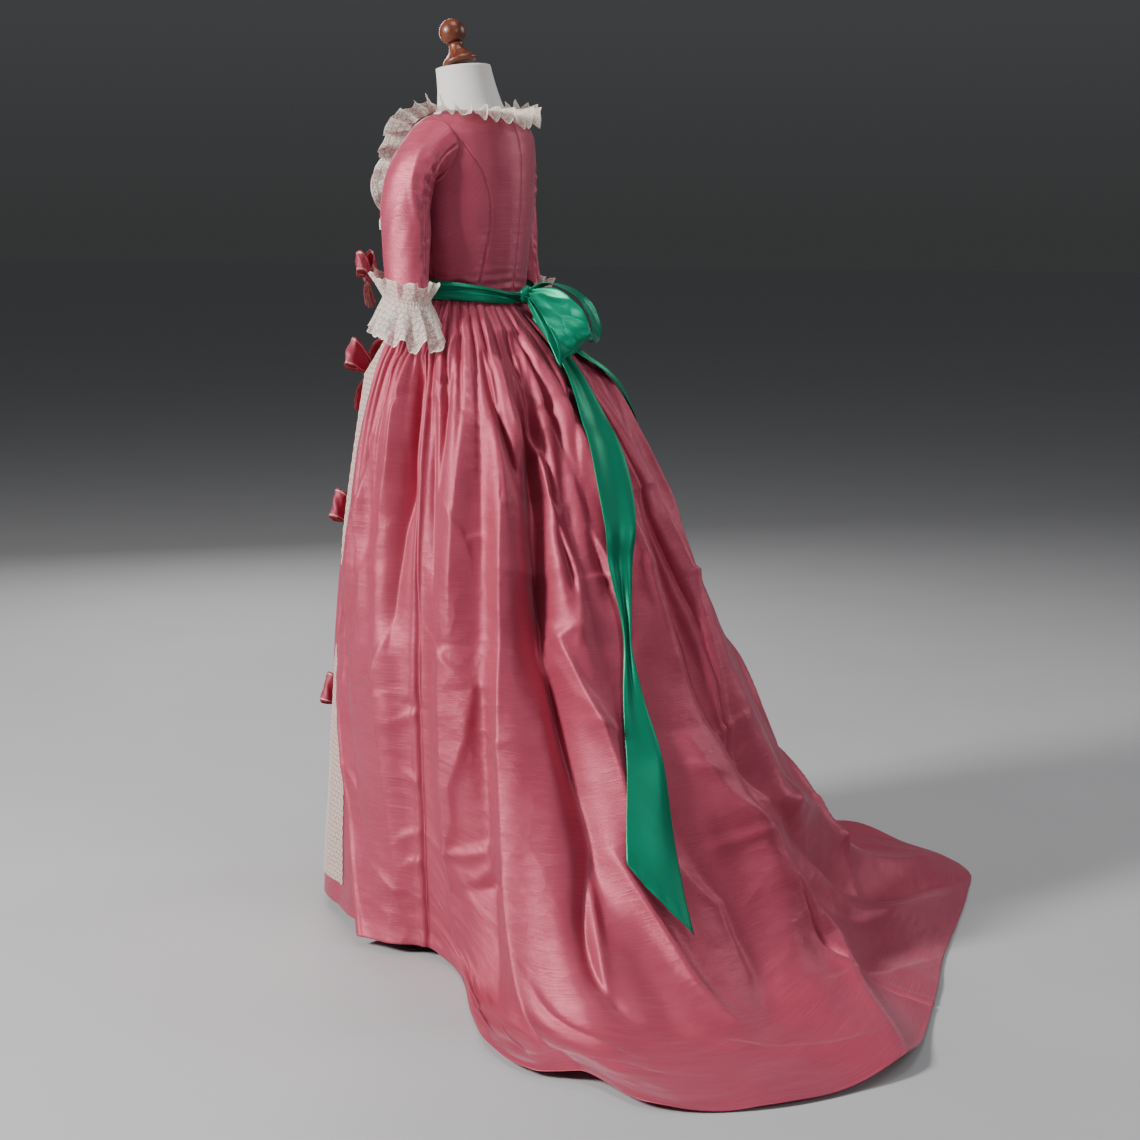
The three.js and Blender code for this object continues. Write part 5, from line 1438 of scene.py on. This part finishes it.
def stand():
    ball = [(24.5 * math.cos(math.radians(a)), 60 + 24.5 * math.sin(math.radians(a)))
            for a in np.linspace(-56, 90, 24)]
    foot = rounded([(0.05, 0), (31, 0), (33, 4), (31, 9), (24, 15), (16, 24), (13, 33), (13.7, 39.7)], 3)
    turned("form_finial", foot + ball, (0, -15, 1600), FINIAL_LEAN)
    base = [(0.05, 0), (BASE_RADIUS, 0), (BASE_RADIUS, 8), (BASE_RADIUS - 6, 14), (60, BASE_HEIGHT), (34, 30),
            (26, 60), (0.05, 60)]
    turned("stand_base", rounded(base, 3))
    foot_z, top_z = 60.3, FORM_FOOT - 0.3
    pole = [(0.05, foot_z), (POLE_RADIUS, foot_z), (POLE_RADIUS, top_z), (0.05, top_z)]
    turned("stand_pole", rounded(pole, 1))


# ---- Stage --------------------------------------------------------------------------------------
def floor():
    size = 60.0
    mesh = bpy.data.meshes.new("floor")
    corners = [(-size, -size, 0), (size, -size, 0), (size, size, 0), (-size, size, 0)]
    mesh.from_pydata(corners, [], [(0, 1, 2, 3)])
    made, tree, shader = material("floor paper")
    mottle = noise(tree, object_place(tree), 3.0, 4.0)
    grey = blend_colour(tree, mottle, (0.43, 0.43, 0.44), (0.47, 0.47, 0.48))
    feed(tree, shader, Base_Color=grey, Roughness=0.75)
    mesh.materials.append(made)
    placed("floor", mesh)


def area_light(name, place, target, size, power, colour):
    data = bpy.data.lights.new(name, "AREA")
    data.shape = "RECTANGLE"
    data.size, data.size_y = size
    data.energy = power
    data.color = colour
    obj = placed(name, data)
    obj.location = place
    obj.rotation_euler = (Vector(target) - Vector(place)).to_track_quat("-Z", "Y").to_euler()


def lights():
    world = bpy.data.worlds.new("studio")
    world.use_nodes = True
    tree = world.node_tree
    generated = node(tree, "ShaderNodeTexCoord").outputs["Generated"]
    height = node(tree, "ShaderNodeSeparateXYZ", None, Vector=generated).outputs[2]
    air = blend_colour(tree, ramp(tree, height, 0.0, 0.25), (0.27, 0.275, 0.28), (0.50, 0.52, 0.55))
    feed(tree, tree.nodes["Background"], _0=air, _1=0.15)
    bpy.context.scene.world = world
    area_light("key", (3.9, -1.9, 3.1), (0, 0.1, 0.8), (0.8, 1.3), 410, (1, 0.98, 0.96))
    area_light("fill", (1.4, 4.6, 2.6), (0, 0.3, 0.7), (1.2, 1.6), 38, (0.96, 0.98, 1))
    area_light("top", (0.4, 0.7, 4.4), (0, 0.3, 0), (1.4, 1.4), 36, (1, 1, 1))
    area_light("front", (-2.6, -3.0, 2.4), (0, 0, 0.9), (1.6, 1.8), 70, (1, 1, 1))
    area_light("back", (-3.0, 2.6, 2.8), (0, 0.3, 0.7), (1.4, 1.6), 45, (1, 1, 1))


CAMERA_AZIMUTH = 125
CAMERA_DISTANCE = 4.0
CAMERA_HEIGHT = 1.30
CAMERA_PITCH = 9.15
SENSOR = 36
FOCAL_PIXELS = 2120
IMAGE = 1140
AXIS_LEFT = 100  # pixels from the middle of the image to the pole


def camera():
    a = math.radians(CAMERA_AZIMUTH)
    ahead = Vector((-math.sin(a), math.cos(a), 0))
    right = Vector((math.cos(a), math.sin(a), 0))
    yaw = math.atan2(AXIS_LEFT, FOCAL_PIXELS)
    pitch = math.radians(CAMERA_PITCH)
    level = ahead * math.cos(yaw) + right * math.sin(yaw)
    look = level * math.cos(pitch) - Vector((0, 0, 1)) * math.sin(pitch)
    data = bpy.data.cameras.new("camera")
    data.sensor_width = SENSOR
    data.lens = FOCAL_PIXELS / IMAGE * SENSOR
    obj = placed("camera", data)
    obj.location = (CAMERA_DISTANCE * math.sin(a), -CAMERA_DISTANCE * math.cos(a), CAMERA_HEIGHT)
    obj.rotation_euler = look.to_track_quat("-Z", "Y").to_euler()
    bpy.context.scene.camera = obj


# ---- All together -------------------------------------------------------------------------------
for side, label in ((1, "left"), (-1, "right")):
    bodice_pieces(side, label)
    sleeve(side, label)
    cuffs(side, label)
    lace_strip(side, label)
robe()
petticoat()
neck_frill()
bows()
sash_band()
sash_bow()
sash_tail("sash_tail_left", LEFT_TAIL, 3)
sash_tail("sash_tail_right", RIGHT_TAIL, 6)
dress_form()
stand()
floor()
lights()
camera()
